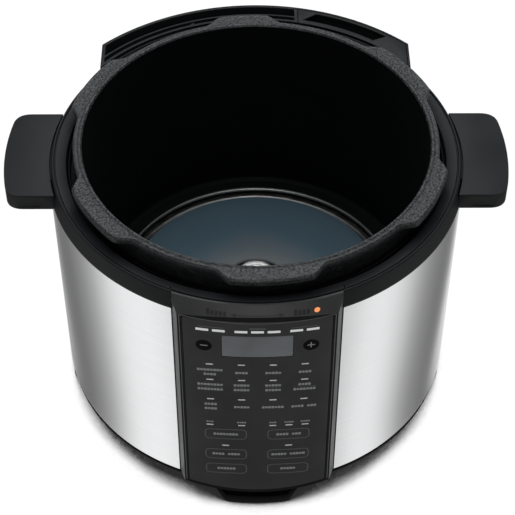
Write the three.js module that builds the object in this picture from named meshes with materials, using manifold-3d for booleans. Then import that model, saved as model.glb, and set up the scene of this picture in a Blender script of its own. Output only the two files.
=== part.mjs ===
// Electric pressure cooker without its lid: steel drum, keypad front, cooking well and rear housing.
// Millimetres, +Z up, front at -Y. The origin is the centre of the bounding box on the ground plane.
import * as THREE from 'three';
import Module from 'manifold-3d';
import { mergeVertices } from 'three/addons/utils/BufferGeometryUtils.js';

const wasm = await Module();
wasm.setup();

// ---- driving dimensions ----
const GAP = 0.3;
const RING_SEGMENTS = 64;
const FRONT_REACH = 143.5;
const REAR_REACH = 158;
const AXIS_Y = (FRONT_REACH - REAR_REACH) / 2;

// Drum
const DRUM_R = 140;
const SHEET = 0.8;
const DRUM_BOTTOM = 28;
const DRUM_TOP = 200.8;
const PANEL_HALF_ANGLE = 22.75;

// Base and feet
const BASE_R = 139;
const BASE_Z = 20;
const FLOOR_T = 2.6;
const LIP_TOP = 34;
const HATCH_R = 62;
const COVER_R = 70;
const COVER_T = 2.2;
const COVER_SCREW_R = 66;
const FOOT_TOP_HALF = 31.5;
const FOOT_BOTTOM_HALF = 22.5;
const FOOT_INNER_R = 112;
const PAD_Z = 3;

// Cooking well
const WELL_R = 116.5;
const WELL_WALL = 2.5;
const NECK_R = 121;
const NECK_Z = 206;
const RIM_Z = 227;
const FLANGE_Z = 221.4;
const LIP_RISE = 0.4;
const VALLEY_R = 122.5;
const LOBE_R = 129.8;
const LOBE_COUNT = 6;
const LOBE_PHASE = 34;
const LOBE_FLAT = 11;
const LOBE_FOOT = 17;
const REAR_LOBE = 94;
const REAR_LOBE_TRIM = 4;
const WELL_FLOOR = 73;
const WELL_HOLE_R = 103;
const PLATE_R = 95;
const PLATE_RIM_Z = 75;
const PLATE_CROWN_Z = 80.5;
const PLATE_BOTTOM = 68;
const PLATE_HOLE_R = 23.5;
const CAP_R = 15;
const CAP_TOP = 90.5;
const CAP_HEIGHT = 13;
const STEM_R = 5;
const BRACKET_Z = 60;
const BRACKET_T = 1.5;
const SPRING_R = 8;
const SPRING_WIRE = 1;
const SPRING_TURNS = 4;

// Collar, handles
const COLLAR_R = 140.5;
const COLLAR_TOP = 213.5;
const HANDLE_REACH = 169.5;
const HANDLE_HALF = 40;
const HANDLE_TOP = 211;
const HANDLE_T = 12.5;
const HANDLE_CORNER = 10;
const HANDLE_ROOT_R = 139.3;
const TONGUE_HALF = 22;

// Control panel
const FACE_BEND = 220;
const FACE_HALF = 50.3;
const PANEL_FOOT_X = 53.5;
const PANEL_FOOT_Y = 129.4;
const PANEL_Z0 = 20.5;
const PANEL_HEM_R = 190;
const PANEL_TOP = 213.2;
const OVERLAY_HALF = 47;
const OVERLAY_HEM = 3;
const OVERLAY_Z1 = 203.5;
const OVERLAY_T = 1.8;
const KEY_T = 2.4;
const DISPLAY = { half: 22.8, z0: 169, z1: 189.6 };
const ROUND_KEY = { r: 5.2, x: 33.9, z: 178.6 };
const FUNCTION_KEY = { w: 17.5, h: 12.5, corner: 1.5, pitch: 20.4, rows: [156.5, 141, 121] };
const OPTION_KEY = { w: 28.4, h: 11.6, corner: 2.5, x: 21.1, rows: [87.6, 65.1, 48.3] };

// Rear housing
const HOUSING_HALF = 110.5;
const HOUSING_Z0 = 150;
const HOUSING_TOP = 212.5;
const HOUSING_WALL = 2.5;
const HOUSING_INNER_R = 140.9;
const LEDGE_R = 147.5;
const DIVIDER_X = 30;
const CUP_HALF = 32;
const CUP_Z0 = 96;
const CUP_RIM_Z = 144;

// Power inlet
const INLET_Z = 50;
const INLET = { half: 15.5, halfZ: 12, back: 116, face: 144, bezelHalf: 20, bezelHalfZ: 16 };
const SOCKET = { half: 12, halfZ: 8, depth: 18 };

// ---- materials ----
const blackPlastic = { color: 0x2b2e30, roughness: 0.5, metalness: 0 };
const overlayPlastic = { color: 0x2a2a2b, roughness: 0.35, metalness: 0 };
const brushedSteel = { color: 0xc9cacb, roughness: 0.32, metalness: 1 };
const darkCoat = { color: 0x33373a, roughness: 0.55, metalness: 0.2 };
const blueCoat = { color: 0x3a4c5a, roughness: 0.45, metalness: 0.3 };
const bareMetal = { color: 0xd6d6d4, roughness: 0.35, metalness: 1 };
const softRubber = { color: 0x1c1c1c, roughness: 0.9, metalness: 0 };
const boardGreen = { color: 0x1d5a34, roughness: 0.6, metalness: 0 };
const brassPin = { color: 0xc8a64b, roughness: 0.3, metalness: 1 };

// ---- helpers ----
const cooker = new THREE.Group();
cooker.position.y = AXIS_Y;
cooker.name = 'cooker';

function add(name, geometry, finish) {
  const mesh = new THREE.Mesh(geometry, new THREE.MeshStandardMaterial(finish));
  mesh.name = name;
  cooker.add(mesh);
  return mesh;
}

function solid(geometry) {
  const bare = geometry.clone();
  bare.deleteAttribute('normal');
  bare.deleteAttribute('uv');
  const merged = mergeVertices(bare, 1e-4);
  const vertProperties = new Float32Array(merged.attributes.position.array);
  const triVerts = new Uint32Array(merged.index.array);
  return new wasm.Manifold(new wasm.Mesh({ numProp: 3, vertProperties, triVerts }));
}

function geometryOf(body) {
  const mesh = body.getMesh();
  const geometry = new THREE.BufferGeometry();
  geometry.setAttribute('position', new THREE.BufferAttribute(mesh.vertProperties, 3));
  geometry.setIndex(new THREE.BufferAttribute(mesh.triVerts, 1));
  geometry.computeVertexNormals();
  return geometry;
}

// Ring of revolution about Z from a closed outline of [radius, z], listed anticlockwise.
function lathe(outline, segments = RING_SEGMENTS) {
  const closed = [...outline];
  if (outline[0][0] > 0) closed.push(outline[0]);
  const points = closed.map(([r, z]) => new THREE.Vector2(r, z));
  return new THREE.LatheGeometry(points, segments).rotateX(Math.PI / 2);
}

function prism(shape, z0, z1, curveSegments = 12) {
  const options = { depth: z1 - z0, bevelEnabled: false, curveSegments };
  return new THREE.ExtrudeGeometry(shape, options).translate(0, 0, z0);
}

// Outline in X and Z, pushed from y0 to y1.
function wallPrism(shape, y0, y1, curveSegments = 12) {
  const options = { depth: y1 - y0, bevelEnabled: false, curveSegments };
  return new THREE.ExtrudeGeometry(shape, options).rotateX(Math.PI / 2).translate(0, y1, 0);
}

function box(x0, x1, y0, y1, z0, z1) {
  const geometry = new THREE.BoxGeometry(x1 - x0, y1 - y0, z1 - z0);
  return geometry.translate((x0 + x1) / 2, (y0 + y1) / 2, (z0 + z1) / 2);
}

function cylinder(r, z0, z1, x = 0, y = 0, segments = 32) {
  const geometry = new THREE.CylinderGeometry(r, r, z1 - z0, segments).rotateX(Math.PI / 2);
  return geometry.translate(x, y, (z0 + z1) / 2);
}

function disc(r, z0, z1) {
  return cylinder(r, z0, z1, 0, 0, RING_SEGMENTS);
}

function polygon(points) {
  return new THREE.Shape(points.map(([x, y]) => new THREE.Vector2(x, y)));
}

function roundedRect(cx, cy, w, h, r) {
  const shape = new THREE.Shape();
  const x0 = cx - w / 2;
  const y0 = cy - h / 2;
  const x1 = cx + w / 2;
  const y1 = cy + h / 2;
  shape.moveTo(x0 + r, y0);
  shape.lineTo(x1 - r, y0);
  shape.absarc(x1 - r, y0 + r, r, -Math.PI / 2, 0);
  shape.lineTo(x1, y1 - r);
  shape.absarc(x1 - r, y1 - r, r, 0, Math.PI / 2);
  shape.lineTo(x0 + r, y1);
  shape.absarc(x0 + r, y1 - r, r, Math.PI / 2, Math.PI);
  shape.lineTo(x0, y0 + r);
  shape.absarc(x0 + r, y0 + r, r, Math.PI, 1.5 * Math.PI);
  return shape;
}

function arcPoints(r, from, to, count) {
  const points = [];
  for (let i = 0; i <= count; i += 1) {
    const t = THREE.MathUtils.degToRad(from + ((to - from) * i) / count);
    points.push([r * Math.cos(t), r * Math.sin(t)]);
  }
  return points;
}

function sector(r0, r1, from, to, count) {
  return polygon([...arcPoints(r1, from, to, count), ...arcPoints(r0, to, from, count)]);
}

function turned(geometry, degrees) {
  return geometry.rotateZ(THREE.MathUtils.degToRad(degrees));
}

// Depth of the bowed panel face at x, measured on a layer t behind its surface.
function faceY(x, t = 0) {
  const bend = FACE_BEND - t;
  return FACE_BEND - FRONT_REACH - Math.sqrt(bend * bend - x * x);
}

function facePoints(half, t, count = 10) {
  const points = [];
  for (let i = 0; i <= count; i += 1) {
    const x = -half + (2 * half * i) / count;
    points.push([x, faceY(x, t)]);
  }
  return points;
}

// Slab that follows the bowed face between two layers behind it.
function faceSlab(half, t0, t1, z0, z1) {
  return prism(polygon([...facePoints(half, t0), ...facePoints(half, t1).reverse()]), z0, z1);
}

// Everything above the curved lower edge of the panel, held back by a hem.
function aboveHem(hem) {
  const centre = PANEL_Z0 + PANEL_HEM_R;
  const edge = arcPoints(PANEL_HEM_R - hem, 250, 290, 24).map(([x, z]) => [x, z + centre]);
  const [right] = edge[edge.length - 1];
  return solid(wallPrism(polygon([...edge, [right, PANEL_TOP + 5], [-right, PANEL_TOP + 5]]), -160, -100));
}

// ---- base ----
function footBlock(topHalf, bottomHalf, z0, z1, y0, y1) {
  const outline = polygon([[-bottomHalf, z0], [bottomHalf, z0], [topHalf, z1], [-topHalf, z1]]);
  return wallPrism(outline, y0, y1);
}

function footSolid() {
  const outer = solid(footBlock(FOOT_TOP_HALF, FOOT_BOTTOM_HALF, 1, BASE_Z + 1, -BASE_R - 2, -FOOT_INNER_R));
  const trimmed = outer.intersect(solid(disc(BASE_R + 0.3, 0, BASE_Z + 1)));
  const niche = solid(footBlock(FOOT_TOP_HALF - 4, FOOT_BOTTOM_HALF - 1, 8.5, BASE_Z - 1.5, -BASE_R - 2, -BASE_R + 5));
  const padSeat = solid(box(-16.3, 16.3, -133.3, -118.7, 0, PAD_Z + GAP));
  return trimmed.subtract(niche).subtract(padSeat);
}

function basePan() {
  const top = BASE_Z + FLOOR_T;
  const section = [
    [HATCH_R, BASE_Z], [BASE_R - 2, BASE_Z], [BASE_R, BASE_Z + 1.5], [BASE_R, DRUM_BOTTOM - GAP],
    [DRUM_R - SHEET - GAP, DRUM_BOTTOM - GAP], [DRUM_R - SHEET - GAP, LIP_TOP],
    [DRUM_R - SHEET - 3, LIP_TOP], [DRUM_R - SHEET - 3, top], [HATCH_R, top],
  ];
  let pan = solid(lathe(section));
  for (const angle of [0, 90, 180, 270]) {
    const foot = new THREE.BufferGeometry().copy(geometryOf(footSolid()));
    pan = pan.add(solid(turned(foot, angle)));
  }
  for (const angle of [30, 150, 270]) {
    pan = pan.subtract(solid(turned(cylinder(1.9, BASE_Z - 1, top + 1, COVER_SCREW_R, 0, 10), angle)));
  }
  return geometryOf(pan);
}

function footPad(angle) {
  return turned(prism(roundedRect(0, -126, 32, 14, 3), 0, PAD_Z, 2), angle);
}

function bottomCover() {
  const z1 = BASE_Z - GAP;
  const z0 = z1 - COVER_T;
  let cover = solid(cylinder(COVER_R, z0, z1, 0, 0, 48));
  for (let i = 0; i < 8; i += 1) {
    const slot = prism(roundedRect(38, 0, 26, 4.5, 2.2), z0 - 1, z1 + 1, 1);
    cover = cover.subtract(solid(turned(slot, i * 45)));
  }
  for (const angle of [30, 150, 270]) {
    cover = cover.subtract(solid(turned(cylinder(2, z0 - 1, z1 + 1, COVER_SCREW_R, 0, 10), angle)));
  }
  return geometryOf(cover);
}

function panScrew(angle) {
  const head = BASE_Z - GAP - COVER_T - GAP;
  const outline = [[0, head - 2], [2.6, head - 2], [3.2, head - 1], [3.2, head], [1.5, head], [1.5, 24], [0, 24]];
  const screw = lathe(outline, 10).translate(COVER_SCREW_R, 0, 0);
  return turned(screw, angle);
}

// ---- drum ----
function steelJacket() {
  const from = -90 + PANEL_HALF_ANGLE;
  const shape = sector(DRUM_R - SHEET, DRUM_R, from, 270 - PANEL_HALF_ANGLE, 84);
  const sheet = solid(prism(shape, DRUM_BOTTOM, DRUM_TOP));
  const half = INLET.half + GAP;
  const halfZ = INLET.halfZ + GAP;
  const inletHole = solid(box(-half, half, 130, 150, INLET_Z - halfZ, INLET_Z + halfZ));
  return geometryOf(sheet.subtract(inletHole));
}

// ---- collar and handles ----
function collar() {
  const seat = DRUM_TOP + GAP;
  const inside = DRUM_R - SHEET - GAP;
  const section = [
    [inside, 196], [inside, seat], [COLLAR_R, seat], [COLLAR_R, seat + 1.5],
    [137.9, 212.4], [137.1, COLLAR_TOP], [136.3, COLLAR_TOP], [135.7, 212.2], [135.1, 213.1],
    [128, 211], [127.2, 200.6], [121.5, 200.6], [121.5, 198], [129.8, 198], [130.2, 208.6],
    [135.6, 208.6], [136.5, 203], [136.5, 196],
  ];
  let ring = solid(lathe(section));
  const reach = PANEL_FOOT_X + GAP;
  const panelGap = solid(box(-reach, reach, -150, -115, 190, 220)).subtract(solid(disc(136.35, 189, 221)));
  ring = ring.subtract(panelGap);
  for (const side of [1, -1]) {
    const y = HANDLE_HALF + GAP;
    const notch = solid(box(130, 150, -y, y, 195, 220)).subtract(solid(disc(HANDLE_ROOT_R - GAP, 194, 221)));
    const tongue = solid(box(131, 145, -TONGUE_HALF - GAP, TONGUE_HALF + GAP, 203.2, 208.4));
    ring = ring.subtract(side > 0 ? notch : notch.rotate([0, 0, 180]));
    ring = ring.subtract(side > 0 ? tongue : tongue.rotate([0, 0, 180]));
  }
  return geometryOf(ring);
}

// Loose liner that closes the drip channel between collar and well.
function dripRing() {
  return lathe([
    [121.8, 200.9], [126.7, 200.9], [126.9, 207.5], [125.9, 207.5], [125.6, 202.1], [122.8, 202.1],
    [122.8, 205.5], [121.8, 205.5],
  ], 48);
}

function handle(side) {
  const bottom = HANDLE_TOP - HANDLE_T;
  const plan = new THREE.Shape();
  const edge = Math.asin(HANDLE_HALF / HANDLE_REACH);
  const cornerX = HANDLE_REACH * Math.cos(edge);
  plan.moveTo(130, -HANDLE_HALF);
  plan.lineTo(cornerX - HANDLE_CORNER, -HANDLE_HALF);
  plan.quadraticCurveTo(cornerX, -HANDLE_HALF, cornerX + 2.2, -HANDLE_HALF + HANDLE_CORNER);
  const inset = Math.asin((HANDLE_HALF - HANDLE_CORNER) / HANDLE_REACH);
  plan.absarc(0, 0, HANDLE_REACH, -inset, inset);
  plan.lineTo(cornerX + 2.2, HANDLE_HALF - HANDLE_CORNER);
  plan.quadraticCurveTo(cornerX, HANDLE_HALF, cornerX - HANDLE_CORNER, HANDLE_HALF);
  plan.lineTo(130, HANDLE_HALF);
  let grip = solid(prism(plan, bottom, HANDLE_TOP, 10));
  grip = grip.subtract(solid(disc(HANDLE_ROOT_R, DRUM_TOP - 1, HANDLE_TOP + 1)));
  grip = grip.subtract(solid(disc(DRUM_R + GAP, bottom - 1, DRUM_TOP + 2 * GAP)));
  const hollow = solid(prism(roundedRect(154.5, 0, 20, 68, 6), bottom - 1, HANDLE_TOP - 3, 3));
  const tongue = solid(box(132, HANDLE_ROOT_R + 2, -TONGUE_HALF, TONGUE_HALF, 203.5, 208.1));
  grip = grip.subtract(hollow).add(tongue);
  return geometryOf(side > 0 ? grip : grip.rotate([0, 0, 180]));
}

// ---- cooking well ----
function lobeRadius(degrees) {
  const spacing = 360 / LOBE_COUNT;
  const offset = Math.abs(((degrees - LOBE_PHASE) % spacing + 1.5 * spacing) % spacing - spacing / 2);
  const trim = Math.abs(degrees - REAR_LOBE) < spacing / 2 ? REAR_LOBE_TRIM : 0;
  const t = THREE.MathUtils.clamp((LOBE_FOOT - trim - offset) / (LOBE_FOOT - LOBE_FLAT), 0, 1);
  const ease = t * t * (3 - 2 * t);
  return VALLEY_R + (LOBE_R - VALLEY_R) * ease;
}

function lobedPlate() {
  const points = [];
  for (let degrees = 0; degrees < 360; degrees += 4) {
    const t = THREE.MathUtils.degToRad(degrees);
    const r = lobeRadius(degrees);
    points.push([r * Math.cos(t), r * Math.sin(t)]);
  }
  return prism(polygon(points), FLANGE_Z, RIM_Z - LIP_RISE);
}

function potWall() {
  const outside = WELL_R + WELL_WALL;
  const z0 = WELL_FLOOR + 2 + GAP;
  const z1 = FLANGE_Z - GAP;
  return lathe([
    [WELL_R, z0], [outside, z0], [outside, NECK_Z], [NECK_R, NECK_Z + 2], [NECK_R, z1], [WELL_R, z1],
  ]);
}

// Lobed top plate with a slightly raised lip round the mouth.
function potFlange() {
  const lip = [
    [WELL_R, FLANGE_Z], [NECK_R, FLANGE_Z], [NECK_R, RIM_Z], [WELL_R + 1.2, RIM_Z], [WELL_R, RIM_Z - 1.2],
  ];
  const hole = disc(WELL_R + 1, FLANGE_Z - 1, RIM_Z);
  return geometryOf(solid(lobedPlate()).subtract(solid(hole)).add(solid(lathe(lip))));
}

function potFloor() {
  const outside = WELL_R + WELL_WALL;
  return lathe([
    [WELL_HOLE_R, WELL_FLOOR - 2], [outside - 2, WELL_FLOOR - 2], [outside, WELL_FLOOR], [outside, WELL_FLOOR + 2],
    [WELL_R, WELL_FLOOR + 2], [WELL_R - 2, WELL_FLOOR], [WELL_HOLE_R, WELL_FLOOR],
  ]);
}

function floorRing() {
  const outline = [];
  const count = 6;
  for (let i = 0; i < count; i += 1) {
    const t = (2 * Math.PI * i) / count;
    outline.push([103.6 + 1.4 * Math.cos(t), WELL_FLOOR + GAP + 1.4 + 1.4 * Math.sin(t)]);
  }
  return lathe(outline, 48);
}

function heatingPlate() {
  const crown = [];
  const steps = 3;
  for (let i = 0; i <= steps; i += 1) {
    const r = PLATE_R - 1 - ((PLATE_R - 1 - PLATE_HOLE_R) * i) / steps;
    const rise = 1 - (r / PLATE_R) ** 2;
    crown.push([r, PLATE_RIM_Z + (PLATE_CROWN_Z - PLATE_RIM_Z) * rise]);
  }
  const heaterRidge = [[62, PLATE_BOTTOM], [64, 61], [72, 61], [74, PLATE_BOTTOM]];
  return lathe([
    [PLATE_HOLE_R, PLATE_BOTTOM], ...heaterRidge, [PLATE_R - 2, PLATE_BOTTOM],
    [PLATE_R, PLATE_BOTTOM + 2], [PLATE_R, PLATE_RIM_Z - 1], ...crown,
  ], 48);
}

// Springy dish that lets the well settle under steam pressure.
function springPlate() {
  return lathe([
    [78, 65.6], [96.5, 65.6], [100.7, 69.2], [112, 69.2], [112, 70.4], [100.2, 70.4], [96, 66.8],
    [78, 66.8],
  ], 48);
}

function sensorCap() {
  const skirt = CAP_TOP - CAP_HEIGHT;
  return lathe([
    [0, 57], [STEM_R, 57], [STEM_R, skirt], [CAP_R, skirt], [CAP_R, CAP_TOP - 2.2],
    [CAP_R - 0.8, CAP_TOP - 0.8], [CAP_R - 2.4, CAP_TOP], [0, CAP_TOP],
  ], 28);
}

class HelixCurve extends THREE.Curve {
  getPoint(t, target = new THREE.Vector3()) {
    const angle = 2 * Math.PI * SPRING_TURNS * t;
    const z0 = BRACKET_Z + BRACKET_T + GAP + SPRING_WIRE;
    const z1 = CAP_TOP - CAP_HEIGHT - GAP - SPRING_WIRE;
    return target.set(SPRING_R * Math.cos(angle), SPRING_R * Math.sin(angle), z0 + (z1 - z0) * t);
  }
}

function sensorSpring() {
  const wire = new THREE.Shape();
  wire.absarc(0, 0, SPRING_WIRE / 2, 0, 2 * Math.PI);
  return new THREE.ExtrudeGeometry(wire, { steps: 48, curveSegments: 2, extrudePath: new HelixCurve() });
}

function sensorBracket() {
  const foot = PLATE_BOTTOM - GAP;
  const outline = polygon([
    [-30, BRACKET_Z], [30, BRACKET_Z], [30, foot - BRACKET_T], [42, foot - BRACKET_T], [42, foot],
    [28.5, foot], [28.5, BRACKET_Z + BRACKET_T], [-28.5, BRACKET_Z + BRACKET_T], [-28.5, foot],
    [-42, foot], [-42, foot - BRACKET_T], [-30, foot - BRACKET_T],
  ]);
  const strap = solid(wallPrism(outline, -9, 9));
  return geometryOf(strap.subtract(solid(cylinder(STEM_R + 0.5, BRACKET_Z - 5, BRACKET_Z + 5, 0, 0, 24))));
}

// ---- electrics ----
function thermalFuse() {
  return wallPrism(roundedRect(0, 64.2, 22, 7, 2), 40, 49, 3);
}

function pressureSwitch() {
  const body = solid(box(-94, -80, -10, 10, 50, 65.3));
  const post = solid(box(-91, -83, -5, 5, BASE_Z + FLOOR_T + GAP, 52));
  return geometryOf(body.add(post));
}

function powerBoard() {
  return box(66, 67.6, -45, 45, BASE_Z + FLOOR_T + 2, 58);
}

function controlBoard() {
  return box(-44, 44, -131, -129.4, 40, 192);
}

function powerInlet() {
  const { half, halfZ, back, face, bezelHalf, bezelHalfZ } = INLET;
  const body = solid(wallPrism(roundedRect(0, INLET_Z, 2 * half, 2 * halfZ, 2), back, face, 3));
  const bezel = wallPrism(roundedRect(0, INLET_Z, 2 * bezelHalf, 2 * bezelHalfZ, 3), 130, face, 3);
  const ring = solid(bezel).subtract(solid(disc(DRUM_R + GAP, 0, 100)));
  let inlet = body.add(ring);
  const s = SOCKET;
  const mouth = polygon([
    [-s.half, -s.halfZ], [s.half, -s.halfZ], [s.half, s.halfZ - 4], [s.half - 4, s.halfZ],
    [4 - s.half, s.halfZ], [-s.half, s.halfZ - 4],
  ]);
  const socket = wallPrism(mouth, face - s.depth, face + 1).translate(0, 0, INLET_Z);
  inlet = inlet.subtract(solid(socket));
  for (const [x, z] of inletPinPlaces()) {
    inlet = inlet.subtract(solid(box(x - 1.3, x + 1.3, back - 1, face - 4, z - 2.3, z + 2.3)));
  }
  return geometryOf(inlet);
}

function inletPinPlaces() {
  return [[-7, INLET_Z - 2], [7, INLET_Z - 2], [0, INLET_Z + 2]];
}

function inletPin([x, z]) {
  return box(x - 1, x + 1, INLET.back - 6, INLET.face - 5, z - 2, z + 2);
}

// ---- control panel ----
function panelHousing() {
  const back = FRONT_REACH - 24;
  const plan = polygon([
    [-PANEL_FOOT_X, -back], [-PANEL_FOOT_X, -PANEL_FOOT_Y], ...facePoints(FACE_HALF, 0),
    [PANEL_FOOT_X, -PANEL_FOOT_Y], [PANEL_FOOT_X, -back],
  ]);
  const crown = lathe([
    [0, PANEL_Z0 - 1], [152, PANEL_Z0 - 1], [152, 200.3], [143.5, 208], [138, PANEL_TOP - 0.2],
    [136.65, PANEL_TOP], [0, PANEL_TOP],
  ]);
  const hollow = polygon([
    [-PANEL_FOOT_X + 1.6, -back + 1], [-PANEL_FOOT_X + 1.6, -PANEL_FOOT_Y],
    ...facePoints(FACE_HALF - 2, 3.4), [PANEL_FOOT_X - 1.6, -PANEL_FOOT_Y], [PANEL_FOOT_X - 1.6, -back + 1],
  ]);
  let shell = solid(prism(plan, PANEL_Z0, PANEL_TOP + 1)).intersect(solid(crown));
  shell = shell.subtract(solid(prism(hollow, PANEL_Z0 - 1, 204.5)));
  shell = shell.subtract(solid(disc(BASE_R + GAP, PANEL_Z0 - 1, LIP_TOP + GAP)));
  shell = shell.subtract(solid(disc(136.65, 190, PANEL_TOP + 5)));
  shell = shell.subtract(solid(disc(129.5, PANEL_Z0 - 1, PANEL_TOP + 5)));
  const seat = OVERLAY_HALF + GAP;
  const t = OVERLAY_T + GAP;
  const recess = solid(faceSlab(seat, -3, t, PANEL_Z0, OVERLAY_Z1 + GAP)).intersect(aboveHem(OVERLAY_HEM - GAP));
  const hole = solid(faceSlab(seat - 3, -3, 12, PANEL_Z0, OVERLAY_Z1 - 3)).intersect(aboveHem(OVERLAY_HEM + 3));
  return geometryOf(shell.intersect(aboveHem(0)).subtract(recess).subtract(hole));
}

function keyOutlines() {
  const keys = [];
  for (const [name, side] of [['key_minus', -1], ['key_plus', 1]]) {
    keys.push({ name, x: side * ROUND_KEY.x, z: ROUND_KEY.z, w: 2 * ROUND_KEY.r, h: 2 * ROUND_KEY.r, corner: ROUND_KEY.r });
  }
  FUNCTION_KEY.rows.forEach((z, row) => {
    for (let column = 0; column < 4; column += 1) {
      const x = (column - 1.5) * FUNCTION_KEY.pitch;
      keys.push({ name: `key_function_${row * 4 + column + 1}`, x, z, ...FUNCTION_KEY });
    }
  });
  OPTION_KEY.rows.forEach((z, row) => {
    for (const side of [-1, 1]) {
      const name = `key_option_${row * 2 + (side + 3) / 2}`;
      keys.push({ name, z, ...OPTION_KEY, x: side * OPTION_KEY.x });
    }
  });
  return keys;
}

function keyPrism({ x, z, w, h, corner }, margin) {
  const segments = corner > 4 ? 4 : 1;
  const outline = roundedRect(x, z, w + 2 * margin, h + 2 * margin, corner + margin - 0.01);
  return solid(wallPrism(outline, -150, -120, segments));
}

function displayOutline() {
  const { half, z0, z1 } = DISPLAY;
  return { x: 0, z: (z0 + z1) / 2, w: 2 * half, h: z1 - z0, corner: 1 };
}

function panelFace() {
  let face = solid(faceSlab(OVERLAY_HALF, 0, OVERLAY_T, PANEL_Z0, OVERLAY_Z1)).intersect(aboveHem(OVERLAY_HEM));
  for (const outline of [...keyOutlines(), displayOutline()]) {
    face = face.subtract(keyPrism(outline, 0));
  }
  return geometryOf(face);
}

function facePiece(outline, thickness) {
  const slab = solid(faceSlab(OVERLAY_HALF, 0, thickness, PANEL_Z0, OVERLAY_Z1));
  return geometryOf(slab.intersect(keyPrism(outline, -GAP)));
}

// ---- rear housing ----
function housingPlan(outerR, innerR, left, right, count = 18) {
  const angleAt = (r, x) => THREE.MathUtils.radToDeg(Math.acos(x / r));
  const outer = arcPoints(outerR, angleAt(outerR, right), angleAt(outerR, left), count);
  const inner = arcPoints(innerR, angleAt(innerR, left), angleAt(innerR, right), count);
  return polygon([...outer, ...inner]);
}

function rearHousing() {
  const floorTop = HOUSING_Z0 + 3;
  const wall = HOUSING_WALL;
  const edge = HOUSING_HALF - wall;
  let housing = solid(prism(housingPlan(REAR_REACH, HOUSING_INNER_R, -HOUSING_HALF, HOUSING_HALF), HOUSING_Z0, HOUSING_TOP));
  const openWell = housingPlan(REAR_REACH - wall, LEDGE_R, -edge, DIVIDER_X - 1.2);
  housing = housing.subtract(solid(prism(openWell, floorTop, HOUSING_TOP + 1)));
  const ledgeStep = housingPlan(LEDGE_R - 1.5, 143, -edge, DIVIDER_X - 1.2);
  housing = housing.subtract(solid(prism(ledgeStep, HOUSING_TOP - 4, HOUSING_TOP + 1)));
  const coveredWell = housingPlan(REAR_REACH - wall - 1, 144.5, DIVIDER_X + 2.5, edge - 1);
  housing = housing.subtract(solid(prism(coveredWell, floorTop, HOUSING_TOP + 1)));
  const coverSeat = housingPlan(REAR_REACH - 1.5, 140, DIVIDER_X + 1.2, HOUSING_HALF - 1.5);
  housing = housing.subtract(solid(prism(coverSeat, HOUSING_TOP - 2.2, HOUSING_TOP + 1)));
  const drain = solid(cylinder(3, HOUSING_Z0 - 1, floorTop + 1, 0, 151, 16));
  housing = housing.subtract(drain);
  for (const side of [-1, 1]) {
    const rail = polygon([
      [side * 34.6, HOUSING_Z0 + 1], [side * 34.6, 143.4], [side * 32.6, 143.4], [side * 32.6, 139],
      [side * 37.5, 139], [side * 37.5, HOUSING_Z0 + 1],
    ]);
    const strip = solid(wallPrism(rail, 130, 153)).subtract(solid(disc(HOUSING_INNER_R, 100, 160)));
    housing = housing.add(strip);
  }
  return geometryOf(housing);
}

function rearCover() {
  const plan = housingPlan(REAR_REACH - 1.5 - GAP, HOUSING_INNER_R, DIVIDER_X + 1.2 + GAP, HOUSING_HALF - 1.5 - GAP);
  const slot = polygon([...arcPoints(154, 52, 73, 10), ...arcPoints(145, 76, 54, 10)]);
  const lid = solid(prism(plan, HOUSING_TOP - 2.2 + GAP, HOUSING_TOP));
  return geometryOf(lid.subtract(solid(prism(slot, HOUSING_TOP - 5, HOUSING_TOP + 1))));
}

function condensationCup() {
  const rimTop = HOUSING_Z0 - GAP;
  let cup = solid(prism(housingPlan(REAR_REACH - 0.8, 141.4, -CUP_HALF, CUP_HALF, 8), CUP_Z0, rimTop));
  const rim = prism(housingPlan(153, 141.4, -CUP_HALF - 2, CUP_HALF + 2, 8), CUP_RIM_Z, rimTop);
  cup = cup.add(solid(rim));
  const inside = housingPlan(REAR_REACH - 2.8, 143.4, -CUP_HALF + 2, CUP_HALF - 2, 8);
  return geometryOf(cup.subtract(solid(prism(inside, CUP_Z0 + 2, rimTop + 1))));
}

// ---- assembly ----
add('base_pan', basePan(), blackPlastic);
add('bottom_cover', bottomCover(), blackPlastic);
[30, 150, 270].forEach((angle, i) => add(`cover_screw_${i + 1}`, panScrew(angle), bareMetal));
[['front', 0], ['right', 90], ['rear', 180], ['left', 270]].forEach(([name, angle]) => {
  add(`foot_pad_${name}`, footPad(angle), softRubber);
});
add('steel_jacket', steelJacket(), brushedSteel);
add('collar', collar(), blackPlastic);
add('drip_ring', dripRing(), blackPlastic);
add('right_handle', handle(1), blackPlastic);
add('left_handle', handle(-1), blackPlastic);
add('pot_wall', potWall(), darkCoat);
add('pot_flange', potFlange(), darkCoat);
add('pot_floor', potFloor(), darkCoat);
add('floor_ring', floorRing(), bareMetal);
add('heating_plate', heatingPlate(), blueCoat);
add('spring_plate', springPlate(), bareMetal);
add('sensor_cap', sensorCap(), bareMetal);
add('sensor_spring', sensorSpring(), bareMetal);
add('sensor_bracket', sensorBracket(), bareMetal);
add('thermal_fuse', thermalFuse(), overlayPlastic);
add('pressure_switch', pressureSwitch(), overlayPlastic);
add('power_board', powerBoard(), boardGreen);
add('control_board', controlBoard(), boardGreen);
add('power_inlet', powerInlet(), blackPlastic);
inletPinPlaces().forEach((place, i) => add(`inlet_pin_${i + 1}`, inletPin(place), brassPin));
add('panel_housing', panelHousing(), blackPlastic);
add('panel_face', panelFace(), overlayPlastic);
add('display_window', facePiece(displayOutline(), OVERLAY_T), overlayPlastic);
keyOutlines().forEach((outline) => add(outline.name, facePiece(outline, KEY_T), overlayPlastic));
add('rear_housing', rearHousing(), blackPlastic);
add('rear_cover', rearCover(), blackPlastic);
add('condensation_cup', condensationCup(), blackPlastic);

export default cooker;
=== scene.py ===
"""Electric pressure cooker without its lid: the looks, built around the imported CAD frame."""

import math

import bmesh
import bpy
from mathutils import Matrix, Vector


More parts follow.
